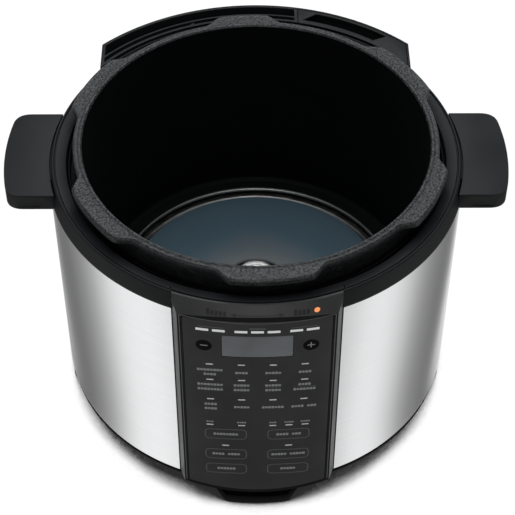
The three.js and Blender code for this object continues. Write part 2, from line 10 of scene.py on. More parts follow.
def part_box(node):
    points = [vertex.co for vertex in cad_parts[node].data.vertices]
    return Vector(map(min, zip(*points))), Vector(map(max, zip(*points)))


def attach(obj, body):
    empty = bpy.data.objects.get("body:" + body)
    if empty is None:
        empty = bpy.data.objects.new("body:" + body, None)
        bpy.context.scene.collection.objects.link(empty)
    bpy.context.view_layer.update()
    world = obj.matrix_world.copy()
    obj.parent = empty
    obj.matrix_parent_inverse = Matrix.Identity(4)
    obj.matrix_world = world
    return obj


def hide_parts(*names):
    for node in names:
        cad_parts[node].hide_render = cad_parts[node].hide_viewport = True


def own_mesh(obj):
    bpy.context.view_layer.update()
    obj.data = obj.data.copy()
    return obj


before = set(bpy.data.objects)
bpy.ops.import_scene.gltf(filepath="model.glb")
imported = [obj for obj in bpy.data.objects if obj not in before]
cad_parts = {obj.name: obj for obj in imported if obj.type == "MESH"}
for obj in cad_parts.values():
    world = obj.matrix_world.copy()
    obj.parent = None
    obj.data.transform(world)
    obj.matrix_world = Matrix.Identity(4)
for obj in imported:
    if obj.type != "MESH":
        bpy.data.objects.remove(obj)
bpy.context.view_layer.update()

MM = 0.001
scene = bpy.context.scene
scene.view_settings.view_transform = "Standard"

# ---- sizes taken from the frame, in millimetres about the pot's axis ----


def frame_box(node):
    """Lowest and highest corner of a CAD node, in millimetres about the pot's axis."""
    low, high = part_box(node)
    shift = Vector((0, AXIS_Y, 0))
    return (low - shift) / MM, (high - shift) / MM


PLATE_LOW, PLATE_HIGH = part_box("heating_plate")
AXIS_Y = (PLATE_LOW.y + PLATE_HIGH.y) / 2
DRUM_LOW, DRUM_HIGH = frame_box("steel_jacket")
DRUM_R = DRUM_HIGH.x
RIM_Z = frame_box("pot_flange")[1].z
HANDLE_LOW, HANDLE_HIGH = frame_box("right_handle")
HOUSING_HIGH = frame_box("rear_housing")[1]
FACE_LOW, FACE_HIGH = frame_box("panel_face")
FRAME_LOW, FRAME_HIGH = frame_box("panel_housing")
CAP_TOP = frame_box("sensor_cap")[1].z

# ---- sizes that the CAD source names too ----

SHEET = 0.8
WELL_R = 116.5
NECK_R = 121
VALLEY_R = 122.5
LOBE_R = 129.8
LOBE_PHASE = 34
LOBE_SPACING = 60
LOBE_FLAT = 11
LOBE_FOOT = 17
REAR_LOBE = 94
REAR_LOBE_TRIM = 4
FLANGE_T = 5.6
WELL_FLOOR = 73
WELL_HOLE_R = 103
PLATE_R = 95
PLATE_HOLE_R = 23.5
CAP_R = 15
COLLAR_R = 140.5
COLLAR_TOP = 213.5
HANDLE_HALF = 40
HANDLE_REACH = 169.5
HANDLE_CORNER = 10
HANDLE_ROOT_R = 139.3
FACE_BEND = 220
FRONT_REACH = 143.5
FACE_HALF = 50.3
PANEL_FOOT_X = 53.5
PANEL_FOOT_Y = 129.4
OVERLAY_HALF = 47
OVERLAY_T = 1.8
OVERLAY_HEM = 3
PANEL_HEM_R = 190
PANEL_TOP_R = 136.65
KEY_T = 2.4
GAP = 0.3
REAR_R = 158
HOUSING_HALF = 110.5
HOUSING_WALL = 2.5
HOUSING_INNER_R = 140.9
LEDGE_R = 147.5
DIVIDER_X = 30
HOUSING_Z0 = 150
CUP_HALF = 32
CUP_RIM_Z = 144
PANEL_HALF_ANGLE = 22.75
PLATE_RIM_Z = 75
PLATE_CROWN_Z = 80.5
CAP_HEIGHT = 13
SPRING_R = 8
FLOOR_RING_R = 103.6
BASE_R = 139
BASE_Z = 20
LIP_TOP = 34
HATCH_R = 62
COVER_R = 70
COVER_SCREW_R = 66
SCREW_ANGLES = (30, 150, 270)
FOOT_TOP_HALF = 31.5
FOOT_BOTTOM_HALF = 22.5
FOOT_INNER_R = 112
INLET_Z = 50
INLET_BACK = 116
INLET_FACE = 144
FUNCTION_W, FUNCTION_H, FUNCTION_CORNER = 17.5, 12.5, 1.5
OPTION_W, OPTION_H, OPTION_CORNER = 28.4, 11.6, 2.5

# ---- mesh helpers ----


def place(x, y, z):
    """A point given in millimetres about the pot's axis, in the row frame."""
    return (x * MM, y * MM + AXIS_Y, z * MM)


def new_object(name, verts, faces, smooth_angle=35):
    """Mesh object from points in millimetres about the pot's axis, smooth below an angle in degrees."""
    mesh = bpy.data.meshes.new(name)
    mesh.from_pydata([place(*v) for v in verts], [], faces)
    bm = bmesh.new()
    bm.from_mesh(mesh)
    bmesh.ops.remove_doubles(bm, verts=bm.verts, dist=1e-7)
    bmesh.ops.dissolve_degenerate(bm, edges=bm.edges, dist=1e-7)
    bmesh.ops.recalc_face_normals(bm, faces=bm.faces)
    bm.to_mesh(mesh)
    bm.free()
    return linked(name, mesh, smooth_angle)


def linked(name, mesh, smooth_angle=35):
    """Object in the scene that shows a mesh."""
    obj = bpy.data.objects.new(name, mesh)
    scene.collection.objects.link(obj)
    shade(obj, smooth_angle)
    return obj


def shade(obj, angle):
    """Smooth shading with sharp edges above an angle in degrees."""
    mesh = obj.data
    mesh.shade_smooth()
    mesh.set_sharp_from_angle(angle=math.radians(angle))


def applied(obj, modifier):
    """Bake one modifier into the mesh."""
    graph = bpy.context.evaluated_depsgraph_get()
    done = bpy.data.meshes.new_from_object(obj.evaluated_get(graph))
    obj.modifiers.remove(modifier)
    obj.data = done
    return obj


def cut(obj, tool, operation="DIFFERENCE"):
    """Boolean of obj with tool, which is then removed."""
    modifier = obj.modifiers.new("cut", "BOOLEAN")
    modifier.operation = operation
    modifier.solver = "EXACT"
    modifier.object = tool
    bpy.context.view_layer.update()
    applied(obj, modifier)
    bpy.data.objects.remove(tool)
    return obj


def rounded_edges(obj, width, segments=3, angle=35):
    """Bevel the sharp edges by a width in millimetres."""
    modifier = obj.modifiers.new("edges", "BEVEL")
    modifier.width = width * MM
    modifier.segments = segments
    modifier.limit_method = "ANGLE"
    modifier.angle_limit = math.radians(angle)
    modifier.harden_normals = False
    bpy.context.view_layer.update()
    applied(obj, modifier)
    shade(obj, angle)
    return obj


def fillet(outline, radius, steps=4):
    """Closed outline of 2-D points with rounded corners; radius is one number or one for each corner."""
    done = []
    count = len(outline)
    for i, point in enumerate(outline):
        r = radius if isinstance(radius, (int, float)) else radius[i]
        p = Vector(point)
        a = Vector(outline[i - 1]) - p
        b = Vector(outline[(i + 1) % count]) - p
        turn = a.angle(b, math.pi)
        if turn > math.radians(176):
            done.append(tuple(p))
            continue
        reach = min(r / math.tan(turn / 2), 0.48 * a.length, 0.48 * b.length)
        done += bezier(p + a.normalized() * reach, p, p + b.normalized() * reach, steps)
    return done


def bezier(a, b, c, steps):
    """Points of a quadratic curve from a to c that is pulled towards b."""
    points = []
    for i in range(steps + 1):
        t = i / steps
        points.append(tuple((1 - t) ** 2 * p + 2 * t * (1 - t) * q + t * t * r for p, q, r in zip(a, b, c)))
    return points


def sweep(name, columns, closed_loop, smooth_angle=35):
    """Surface through columns of points; each column is a closed outline. An open sweep gets end caps."""
    verts = [point for column in columns for point in column]
    faces = []
    n = len(columns[0])
    count = len(columns)
    for i in range(count if closed_loop else count - 1):
        j = (i + 1) % count
        for k in range(n):
            m = (k + 1) % n
            faces.append((i * n + k, j * n + k, j * n + m, i * n + m))
    if not closed_loop:
        faces.append(tuple(range(n)))
        faces.append(tuple(reversed(range((count - 1) * n, count * n))))
    return new_object(name, verts, faces, smooth_angle)


def polar(r, degrees, z):
    """Point at a radius and an angle about the pot's axis."""
    t = math.radians(degrees)
    return (r * math.cos(t), r * math.sin(t), z)


def revolve(name, outline, segments=180, smooth_angle=35):
    """Closed outline of (radius, z) turned about the pot's axis."""
    columns = [[polar(r, 360 * i / segments, z) for r, z in outline] for i in range(segments)]
    return sweep(name, columns, True, smooth_angle)


def turned_solid(name, outline, segments=96, smooth_angle=35):
    """Solid of revolution whose outline of (radius, z) starts and ends on the axis."""
    inner = outline[1:-1]
    verts = [(0, 0, outline[0][1]), (0, 0, outline[-1][1])]
    faces = []
    n = len(inner)
    for i in range(segments):
        verts.extend(polar(r, 360 * i / segments, z) for r, z in inner)
    for i in range(segments):
        a = 2 + i * n
        b = 2 + ((i + 1) % segments) * n
        faces.append((0, b, a))
        faces.append((1, a + n - 1, b + n - 1))
        for k in range(n - 1):
            faces.append((a + k, b + k, b + k + 1, a + k + 1))
    return new_object(name, verts, faces, smooth_angle)


def pushed(name, start, end, smooth_angle=35):
    """Solid between two matching outlines of 3-D points."""
    n = len(start)
    faces = [tuple(reversed(range(n))), tuple(range(n, 2 * n))]
    faces += [(i, (i + 1) % n, n + (i + 1) % n, n + i) for i in range(n)]
    return new_object(name, start + end, faces, smooth_angle)


def slab(name, outline, z0, z1):
    """Plan outline of (x, y) pushed up from z0 to z1."""
    return pushed(name, [(x, y, z0) for x, y in outline], [(x, y, z1) for x, y in outline])


def wall_slab(name, outline, y0, y1):
    """Front outline of (x, z) pushed from y0 to y1."""
    n = len(outline)
    verts = [(x, y0, z) for x, z in outline] + [(x, y1, z) for x, z in outline]
    faces = [tuple(range(n)), tuple(reversed(range(n, 2 * n)))]
    faces += [(i, n + i, n + (i + 1) % n, (i + 1) % n) for i in range(n)]
    return new_object(name, verts, faces)


def block(name, x0, x1, y0, y1, z0, z1):
    """Box between two limits on each axis."""
    return slab(name, [(x0, y0), (x1, y0), (x1, y1), (x0, y1)], z0, z1)


def rounded_rect(cx, cy, w, h, r):
    """Closed outline of a rectangle with round corners, anticlockwise from the lower right one."""
    across, up = w / 2 - r, h / 2 - r
    points = []
    for k, (x, y) in enumerate(((across, -up), (across, up), (-across, up), (-across, -up))):
        corner = arc(r, 90 * k - 90, 90 * k, 6)
        points += [(cx + x + dx, cy + y + dy) for dx, dy in corner]
    return points


def circle(cx, cy, r, count):
    """Closed outline of a round hole, disc or wire."""
    return [(cx + x, cy + y) for x, y in arc(r, 0, 360 * (count - 1) / count, count - 1)]


def spread(start, end, steps):
    """Even values from start to end, both included."""
    return [start + (end - start) * i / steps for i in range(steps + 1)]


def arc(r, start, end, steps):
    """Plan points round the axis, from one angle in degrees to another."""
    return [polar(r, degrees, 0)[:2] for degrees in spread(start, end, steps)]


def joined(name, parts):
    """One object from several meshes."""
    bm = bmesh.new()
    for part in parts:
        bm.from_mesh(part.data)
    mesh = bpy.data.meshes.new(name)
    bm.to_mesh(mesh)
    bm.free()
    for part in parts:
        bpy.data.objects.remove(part)
    return linked(name, mesh)


def finish_piece(obj, material, slot, *stands_for, body="cooker"):
    """Material, record slot (not used), replaced CAD nodes and body of one piece."""
    obj.data.materials.clear()
    obj.data.materials.append(material)
    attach(obj, body)
    if stands_for:
        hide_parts(*stands_for)
    return obj


def paint_node(node, material):
    """Material of a CAD node that is kept as it is."""
    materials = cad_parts[node].data.materials
    materials.clear()
    materials.append(material)


# ---- materials ----


def fill_ramp(node, stops):
    """Stops are (position, grey or colour)."""
    elements = node.color_ramp.elements
    while len(elements) < len(stops):
        elements.new(0.5)
    for element, (position, color) in zip(elements, stops):
        element.position = position
        rgb = (color, color, color) if isinstance(color, (int, float)) else color
        element.color = (*rgb, 1)


class Shader:
    """A Principled material with a few short ways to feed its sockets."""

    def __init__(self, name, color, roughness, metallic=0.0, specular=0.5):
        self.material = bpy.data.materials.new(name)
        self.material.use_nodes = True
        self.tree = self.material.node_tree
        self.bsdf = self.tree.nodes["Principled BSDF"]
        self.set("Base Color", (*color, 1))
        self.set("Roughness", roughness)
        self.set("Metallic", metallic)
        self.set("Specular IOR Level", specular)
        self.material.diffuse_color = (*color, 1)

    def set(self, socket, value):
        self.bsdf.inputs[socket].default_value = value

    def node(self, kind, **inputs):
        node = self.tree.nodes.new(kind)
        for key, value in inputs.items():
            node.inputs[key.replace("_", " ")].default_value = value
        return node

    def link(self, source, target):
        self.tree.links.new(source, target)

    def point(self):
        """Object coordinates."""
        return self.node("ShaderNodeTexCoord").outputs["Object"]

    def about_axis(self):
        """Object coordinates about the pot's axis."""
        coords = self.node("ShaderNodeTexCoord")
        split = self.node("ShaderNodeSeparateXYZ")
        self.link(coords.outputs["Object"], split.inputs["Vector"])
        return split.outputs["X"], self.math("SUBTRACT", split.outputs["Y"], AXIS_Y), split.outputs["Z"]

    def plane(self, x, y):
        join = self.node("ShaderNodeCombineXYZ")
        self.link(x, join.inputs["X"])
        self.link(y, join.inputs["Y"])
        return join.outputs["Vector"]

    def drum_point(self, around=1.0, up=1.0):
        """Coordinates rolled out round the pot's axis: angle and height."""
        x, y, z = self.about_axis()
        angle = self.math("ARCTAN2", y, x)
        return self.plane(self.math("MULTIPLY", angle, around), self.math("MULTIPLY", z, up))

    def axis_distance(self):
        """Distance from the pot's axis, in metres."""
        x, y, _ = self.about_axis()
        return self.math("SQRT", self.math("ADD", self.math("MULTIPLY", y, y), self.math("MULTIPLY", x, x)))

    def math(self, operation, a, b=None):
        node = self.tree.nodes.new("ShaderNodeMath")
        node.operation = operation
        for i, value in enumerate((a, b)):
            if value is None:
                continue
            if isinstance(value, (int, float)):
                node.inputs[i].default_value = value
            else:
                self.link(value, node.inputs[i])
        return node.outputs[0]

    def noise(self, vector, scale, detail=2.0, roughness=0.5):
        node = self.node("ShaderNodeTexNoise", Scale=scale, Detail=detail, Roughness=roughness)
        self.link(vector, node.inputs["Vector"])
        return node.outputs["Fac"]

    def ramp(self, value, stops):
        node = self.node("ShaderNodeValToRGB")
        self.link(value, node.inputs["Fac"])
        fill_ramp(node, stops)
        return node.outputs["Color"]

    def bump(self, height, strength, distance):
        node = self.node("ShaderNodeBump", Strength=strength, Distance=distance)
        self.link(height, node.inputs["Height"])
        previous = self.bsdf.inputs["Normal"]
        if previous.is_linked:
            self.link(previous.links[0].from_socket, node.inputs["Normal"])
        self.link(node.outputs["Normal"], previous)

    def feed(self, socket, value):
        self.link(value, self.bsdf.inputs[socket])


def moulded_plastic(name, color, roughness=0.45, specular=0.35, grain=0.25):
    """Moulded plastic with a fine spark-eroded grain and faint shine differences."""
    s = Shader(name, color, roughness, specular=specular)
    at = s.point()
    fine = s.noise(at, 2600, 2)
    broad = s.noise(at, 34, 3)
    low = tuple(c * 0.88 for c in color)
    high = tuple(c * 1.14 for c in color)
    s.feed("Base Color", s.ramp(broad, [(0.3, low), (0.7, high)]))
    s.feed("Roughness", s.ramp(broad, [(0.25, roughness - 0.04), (0.75, roughness + 0.05)]))
    s.bump(fine, grain, 0.00004)
    return s.material


def brushed_sheet(name):
    """Stainless sheet with fine lines round the drum."""
    s = Shader(name, (0.80, 0.805, 0.81), 0.2, metallic=1.0)
    lines = s.noise(s.drum_point(3.0, 5200), 1.0, 3, 0.6)
    streaks = s.noise(s.drum_point(1.2, 900), 1.0, 2, 0.6)
    cloud = s.noise(s.point(), 9, 2)
    s.feed("Base Color", s.ramp(streaks, [(0.3, (0.785, 0.79, 0.80)), (0.7, (0.815, 0.82, 0.825))]))
    wear = s.math("ADD", s.math("MULTIPLY", lines, 0.04), s.math("MULTIPLY", cloud, 0.03))
    s.feed("Roughness", s.math("ADD", wear, 0.15))
    s.bump(lines, 0.05, 0.00001)
    s.set("Anisotropic", 0.5)
    s.set("Anisotropic Rotation", 0.25)
    tangent = s.node("ShaderNodeTangent")
    tangent.direction_type = "RADIAL"
    tangent.axis = "Z"
    s.link(tangent.outputs["Tangent"], s.bsdf.inputs["Tangent"])
    return s.material


def hammered_coat(name, dark, light):
    """Speckled grey coat with shallow pits."""
    s = Shader(name, dark, 0.5, specular=0.3)
    at = s.point()
    speck = s.noise(at, 640, 4, 0.75)
    pits = s.noise(at, 520, 2, 0.6)
    s.feed("Base Color", s.ramp(speck, [(0.40, dark), (0.62, light)]))
    s.feed("Roughness", s.ramp(pits, [(0.3, 0.40), (0.7, 0.58)]))
    s.bump(pits, 0.7, 0.00026)
    return s.material


def blue_coat(name):
    """Blue-grey plate coat with a painted highlight: paler and warmer towards the middle, and painted a
    little lighter at the rim to offset the shade near the well's wall.
    """
    s = Shader(name, (0.05, 0.085, 0.11), 0.42, metallic=0.35)
    at = s.point()
    mottle = s.noise(at, 60, 4, 0.6)
    grit = s.noise(at, 1800, 2)
    out = s.math("DIVIDE", s.axis_distance(), PLATE_R * MM)
    wavy = s.math("ADD", out, s.math("MULTIPLY", mottle, 0.16))
    # painted highlight in the middle, painted light at the rim
    tone = s.ramp(wavy, [(0.30, PLATE_HIGHLIGHT), (0.68, PLATE_FIELD), (1.0, PLATE_EDGE)])
    s.feed("Base Color", tone)
    s.feed("Roughness", s.ramp(grit, [(0.3, 0.38), (0.7, 0.5)]))
    s.bump(grit, 0.2, 0.00003)
    return s.material


def turned_metal(name, color, roughness):
    """Bare metal with fine concentric turning marks."""
    s = Shader(name, color, roughness, metallic=1.0)
    rings = s.noise(s.drum_point(0.4, 1.0), 3.0, 1)
    radius = s.math("MULTIPLY", s.axis_distance(), 900)
    marks = s.noise(s.plane(radius, rings), 1.0, 2, 0.6)
    s.feed("Roughness", s.ramp(marks, [(0.3, roughness - 0.06), (0.7, roughness + 0.1)]))
    s.bump(marks, 0.15, 0.00002)
    return s.material


def plain_metal(name, color, roughness=0.35):
    """Bare metal with faint smudges."""
    s = Shader(name, color, roughness, metallic=1.0)
    smudge = s.noise(s.point(), 120, 3)
    s.feed("Roughness", s.ramp(smudge, [(0.3, roughness - 0.07), (0.7, roughness + 0.1)]))
    return s.material


def printed_mark(name, color):
    """Slightly uneven ink."""
    s = Shader(name, color, 0.5, specular=0.2)
    ink = s.noise(s.point(), 3000, 1)
    low = tuple(c * 0.92 for c in color)
    s.feed("Base Color", s.ramp(ink, [(0.35, low), (0.65, color)]))
    return s.material


# plate tones: the middle one is a painted highlight; the edge one is painted lighter than the field to
# offset the shade near the well's wall
PLATE_HIGHLIGHT = (0.062, 0.066, 0.068)
PLATE_FIELD = (0.033, 0.056, 0.073)
PLATE_EDGE = (0.040, 0.066, 0.084)

PLASTIC = moulded_plastic("black_plastic", (0.0053, 0.0059, 0.0064), 0.45, 0.13)
BAND_PLASTIC = moulded_plastic("band_plastic", (0.0135, 0.0138, 0.0142), 0.45, 0.2)
# darker copy of the black plastic: painted shade on the base pan and its feet, and plain dark plastic for
# the drip liner, the bottom cover and hidden parts
DARK_AND_SHADED_PLASTIC = moulded_plastic("dark_and_shaded_plastic", (0.0022, 0.0023, 0.0024), 0.55, 0.08)
EDGE_PLASTIC = moulded_plastic("frame_edge", (0.040, 0.043, 0.045), 0.40, 0.3, 0.1)
SHEET_PLASTIC = moulded_plastic("panel_print", (0.0300, 0.0300, 0.0308), 0.42, 0.2, 0.08)
KEY_BLACK = moulded_plastic("key_black", (0.0015, 0.0015, 0.0015), 0.4, 0.1, 0.05)
DISPLAY_GREY = moulded_plastic("display_grey", (0.125, 0.135, 0.141), 0.3, 0.3, 0.02)
STEEL = brushed_sheet("brushed_steel")
COAT = hammered_coat("dark_coat", (0.0010, 0.0012, 0.0014), (0.0225, 0.0252, 0.0268))
# darker, duller material for the well's inner wall: painted shade
WELL_PAINTED_SHADE = moulded_plastic("well_painted_shade", (0.0022, 0.0026, 0.0026), 0.6, 0.05, 0.1)
BLUE = blue_coat("blue_coat")
BRIGHT = turned_metal("bright_edge", (0.43, 0.445, 0.45), 0.45)
CAP_METAL = turned_metal("sensor_metal", (0.92, 0.92, 0.91), 0.42)
SPRING_METAL = plain_metal("spring_metal", (0.5, 0.5, 0.5))
SCREW_METAL = plain_metal("screw_metal", (0.45, 0.45, 0.46))
BRASS = plain_metal("brass_plate", (0.65, 0.5, 0.22), 0.28)
RUBBER = moulded_plastic("foot_rubber", (0.01, 0.01, 0.01), 0.85, 0.2, 0.5)
BOARD = moulded_plastic("board_green", (0.015, 0.07, 0.03), 0.5, 0.4, 0.1)
LED_WHITE = printed_mark("led_white", (0.85, 0.86, 0.87))
PRINT_LIGHT = printed_mark("print_light", (0.52, 0.53, 0.54))
PRINT_GREY = printed_mark("print_grey", (0.215, 0.22, 0.225))
# grey for printed lines, also used for the painted highlight line round the panel frame
PRINT_AND_HIGHLIGHT_LINE = printed_mark("print_and_highlight_line", (0.10, 0.103, 0.106))
PRINT_DARK = printed_mark("print_dark", (0.004, 0.004, 0.004))
ORANGE = printed_mark("orange_dot", (0.75, 0.25, 0.09))

# ---- drum ----


def drum_sheet():
    """Rolled steel skin, open at the front for the control panel."""
    z0, z1 = DRUM_LOW.z, DRUM_HIGH.z
    outline = fillet([(DRUM_R - SHEET, z0), (DRUM_R, z0), (DRUM_R, z1), (DRUM_R - SHEET, z1)], 0.3, 3)
    start, end = -90 + PANEL_HALF_ANGLE, 270 - PANEL_HALF_ANGLE
    columns = [[polar(r, degrees, z) for r, z in outline] for degrees in spread(start, end, 314)]
    skin = sweep("drum_sheet", columns, False)
    low, high = frame_box("power_inlet")
    cut(skin, block("inlet_hole", -15.8, 15.8, 130, 150, low.z + 3.7, high.z - 3.7))
    shade(skin, 30)
    finish_piece(skin, STEEL, "brushed_steel", "steel_jacket")


# ---- collar ----

PANEL_CUT_R = 136.35
PANEL_CUT_X = PANEL_FOOT_X + GAP
GRIP_CUT_R = HANDLE_ROOT_R - GAP
GRIP_CUT_Y = HANDLE_HALF + GAP


def collar_outline():
    """Section of the collar: drum seat, rounded crest with a fine groove, and the drip channel."""
    seat = DRUM_HIGH.z + 0.3
    inside = DRUM_R - SHEET - 0.3
    corners = [
        (inside, 196), (inside, seat), (COLLAR_R, seat), (COLLAR_R, seat + 1.5), (137.9, 212.4),
        (137.0, COLLAR_TOP), (136.3, COLLAR_TOP), (135.9, 212.1), (135.5, 212.1), (135.1, 213.1),
        (128, 211), (127.2, 200.6), (121.5, 200.6), (121.5, 198), (129.8, 198), (130.2, 208.6),
        (135.6, 208.6), (136.5, 203), (136.5, 196),
    ]
    radii = [0.2, 0.1, 0.3, 1.2, 1.0, 0.5, 0.3, 0.1, 0.1, 0.4, 0.7, 0.5, 0.3, 0.3, 0.5, 0.5, 0.5, 0.5, 0.2]
    return fillet(corners, radii, 3)


def collar_columns(outline):
    """Columns round the collar; inside the panel's and the grips' sectors the radius is held back."""
    columns = []

    def add(angle_of, limit=math.inf):
        columns.append([polar(min(r, limit), angle_of(r), z) for r, z in outline])

    def edge(centre, half):
        return lambda r: centre + math.degrees(math.asin(half / r))

    sectors = [(0, GRIP_CUT_Y, GRIP_CUT_R), (180, GRIP_CUT_Y, GRIP_CUT_R), (270, PANEL_CUT_X, PANEL_CUT_R)]
    for degree in range(360):
        held = math.inf
        near = False
        for centre, half, limit in sectors:
            reach = math.degrees(math.asin(half / PANEL_CUT_R))
            offset = (degree - centre + 180) % 360 - 180
            if abs(offset) < reach - 1.6:
                held = limit
            elif abs(offset) < reach + 0.6:
                near = True
            if abs(offset + reach) < 0.5:
                add(edge(centre, -half))
                add(edge(centre, -half), limit)
            if abs(offset - reach) < 0.5:
                add(edge(centre, half), limit)
                add(edge(centre, half))
        if not near:
            add(lambda r, d=degree: d, held)
    return columns


def collar():
    """Collar over the drum's edge, with the loose ring in its channel."""
    ring = sweep("collar_ring", collar_columns(collar_outline()), True, 28)
    finish_piece(ring, PLASTIC, "black_plastic", "collar")
    liner = revolve("drip_liner", fillet([
        (121.8, 200.9), (126.7, 200.9), (126.9, 207.5), (125.9, 207.5), (125.6, 202.1), (122.8, 202.1),
        (122.8, 205.5), (121.8, 205.5)], 0.35, 3))
    finish_piece(liner, DARK_AND_SHADED_PLASTIC, "black_plastic", "drip_ring")


# ---- cooking well ----


def lobe_radius(degrees):
    """Outer radius of the flange, which swells into one lobe every LOBE_SPACING degrees."""
    offset = abs((degrees - LOBE_PHASE + LOBE_SPACING / 2) % LOBE_SPACING - LOBE_SPACING / 2)
    trim = REAR_LOBE_TRIM if abs(degrees - REAR_LOBE) < LOBE_SPACING / 2 else 0
    t = min(1.0, max(0.0, (LOBE_FOOT - trim - offset) / (LOBE_FOOT - LOBE_FLAT)))
    return VALLEY_R + (LOBE_R - VALLEY_R) * t * t * (3 - 2 * t)


def flange_outline(outer):
    """Section of the well: wall, rolled rim, lobed flange, neck and floor edge."""
    low = RIM_Z - FLANGE_T
    corners = [
        (WELL_HOLE_R, WELL_FLOOR - 2), (117, WELL_FLOOR - 2), (119, WELL_FLOOR), (119, 206),
        (NECK_R, 208.2), (NECK_R, low), (outer - 0.3, low), (outer, low + 0.6), (outer, RIM_Z - 2.0),
        (outer - 1.1, RIM_Z - 0.5), (outer - 2.6, RIM_Z - 0.7), (119.6, RIM_Z - 0.6), (118.4, RIM_Z),
        (117.3, RIM_Z - 0.1), (WELL_R, RIM_Z - 1.4), (WELL_R, WELL_FLOOR + 2.4),
        (WELL_R - 2.4, WELL_FLOOR), (WELL_HOLE_R, WELL_FLOOR)]
    radii = [0.3, 1.0, 1.0, 1.0, 1.0, 0.2, 0.3, 0.3, 0.8, 0.5, 0.5, 0.5, 0.5, 0.6, 0.8, 1.2, 1.2, 0.3]
    return fillet(corners, radii, 3)


def cooking_well():
    """Outer pot with its lobed flange, painted darker inside as the shade of the well, and the bright ring
    on its floor.
    """
    columns = []
    steps = 480
    for i in range(steps):
        degrees = 360 * i / steps
        columns.append([polar(r, degrees, z) for r, z in flange_outline(lobe_radius(degrees))])
    well = sweep("cooking_well", columns, True, 40)
    finish_piece(well, COAT, "dark_coat", "pot_wall", "pot_flange", "pot_floor")
    well.data.materials.append(WELL_PAINTED_SHADE)
    # inner wall faces below the rim take the darker material: painted shade in the well
    inner = (WELL_R + 0.25) * MM
    for face in well.data.polygons:
        x, y, z = face.center
        if math.hypot(x, y - AXIS_Y) < inner and z < (RIM_Z - 1.9) * MM:
            face.material_index = 1
    ring = revolve("bright_ring", circle(FLOOR_RING_R, WELL_FLOOR + 1.7, 1.4, 14))
    finish_piece(ring, BRIGHT, "bare_metal", "floor_ring")


def heating_plate():
    """Crowned plate with a hole for the sensor and a heater ring below."""
    low = PLATE_LOW.z / MM
    bottom = low + 7
    section = [
        (PLATE_HOLE_R, bottom), (62, bottom), (64, low), (72, low), (74, bottom), (PLATE_R - 2, bottom),
        (PLATE_R, bottom + 2), (PLATE_R, PLATE_RIM_Z - 1.2), (PLATE_R - 0.8, PLATE_RIM_Z - 0.2)]
    for r in spread(PLATE_R - 2, PLATE_HOLE_R + 0.8, 16):
        section.append((r, PLATE_CROWN_Z - 0.05 - (PLATE_CROWN_Z - PLATE_RIM_Z) * (r / PLATE_R) ** 2))
    top = section[-1][1]
    section.append((PLATE_HOLE_R, top - 0.9))
    disc = revolve("heating_disc", section, 180, 30)
    finish_piece(disc, BLUE, "blue_coat", "heating_plate")
    paint_node("spring_plate", SPRING_METAL)


def sensor():
    """Sprung metal cap in the middle of the plate, with its coil below."""
    top = CAP_TOP
    skirt = top - CAP_HEIGHT
    cap = turned_solid("sensor_cap_top", [
        (0, 57), (4.4, 57), (5, 57.6), (5, skirt), (CAP_R - 0.4, skirt), (CAP_R, skirt + 0.4),
        (CAP_R, top - 2.6), (CAP_R - 0.25, top - 1.6), (CAP_R - 0.9, top - 0.7), (CAP_R - 2.0, top - 0.2),
        (CAP_R - 3.2, top), (9.0, top), (8.7, top - 0.25), (8.3, top - 0.25), (8.0, top), (0, top)], 96, 30)
    finish_piece(cap, CAP_METAL, "sensor_aluminium", "sensor_cap", body="sensor")
    low, high = frame_box("sensor_spring")
    wire = 0.5
    turns, steps, sides = 4, 160, 8
    columns = []
    for i in range(steps + 1):
        t = i / steps
        a = 2 * math.pi * turns * t
        z = low.z + wire + (high.z - low.z - 2 * wire) * t
        section = circle(SPRING_R, z, wire, sides)
        columns.append([(r * math.cos(a), r * math.sin(a), up) for r, up in section])
    coil = sweep("sensor_coil", columns, False, 60)
    finish_piece(coil, SPRING_METAL, "spring_steel", "sensor_spring")
    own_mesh(coil)
    paint_node("sensor_bracket", SPRING_METAL)
    for node in ("thermal_fuse", "pressure_switch"):
        paint_node(node, DARK_AND_SHADED_PLASTIC)
    for node in ("power_board", "control_board"):
        paint_node(node, BOARD)


# ---- handles ----


def grip_plan():
    """Plan of the right grip, from its root arc to the outer arc."""
    half = HANDLE_HALF
    corner = math.degrees(math.asin((half - HANDLE_CORNER) / HANDLE_REACH))
    side_x = HANDLE_REACH * math.cos(math.asin(half / HANDLE_REACH)) - HANDLE_CORNER
    root_half = math.degrees(math.asin(half / HANDLE_ROOT_R))
    outer = arc(HANDLE_REACH, -corner, corner, 24)
    start = (side_x, -half)
    bend = (side_x + HANDLE_CORNER + 0.6, -half)
    low_curve = bezier(start, bend, outer[0], 8)
    high_curve = bezier(outer[-1], (bend[0], half), (side_x, half), 8)
    return low_curve[:-1] + outer + high_curve[1:] + arc(HANDLE_ROOT_R, root_half, -root_half, 24)


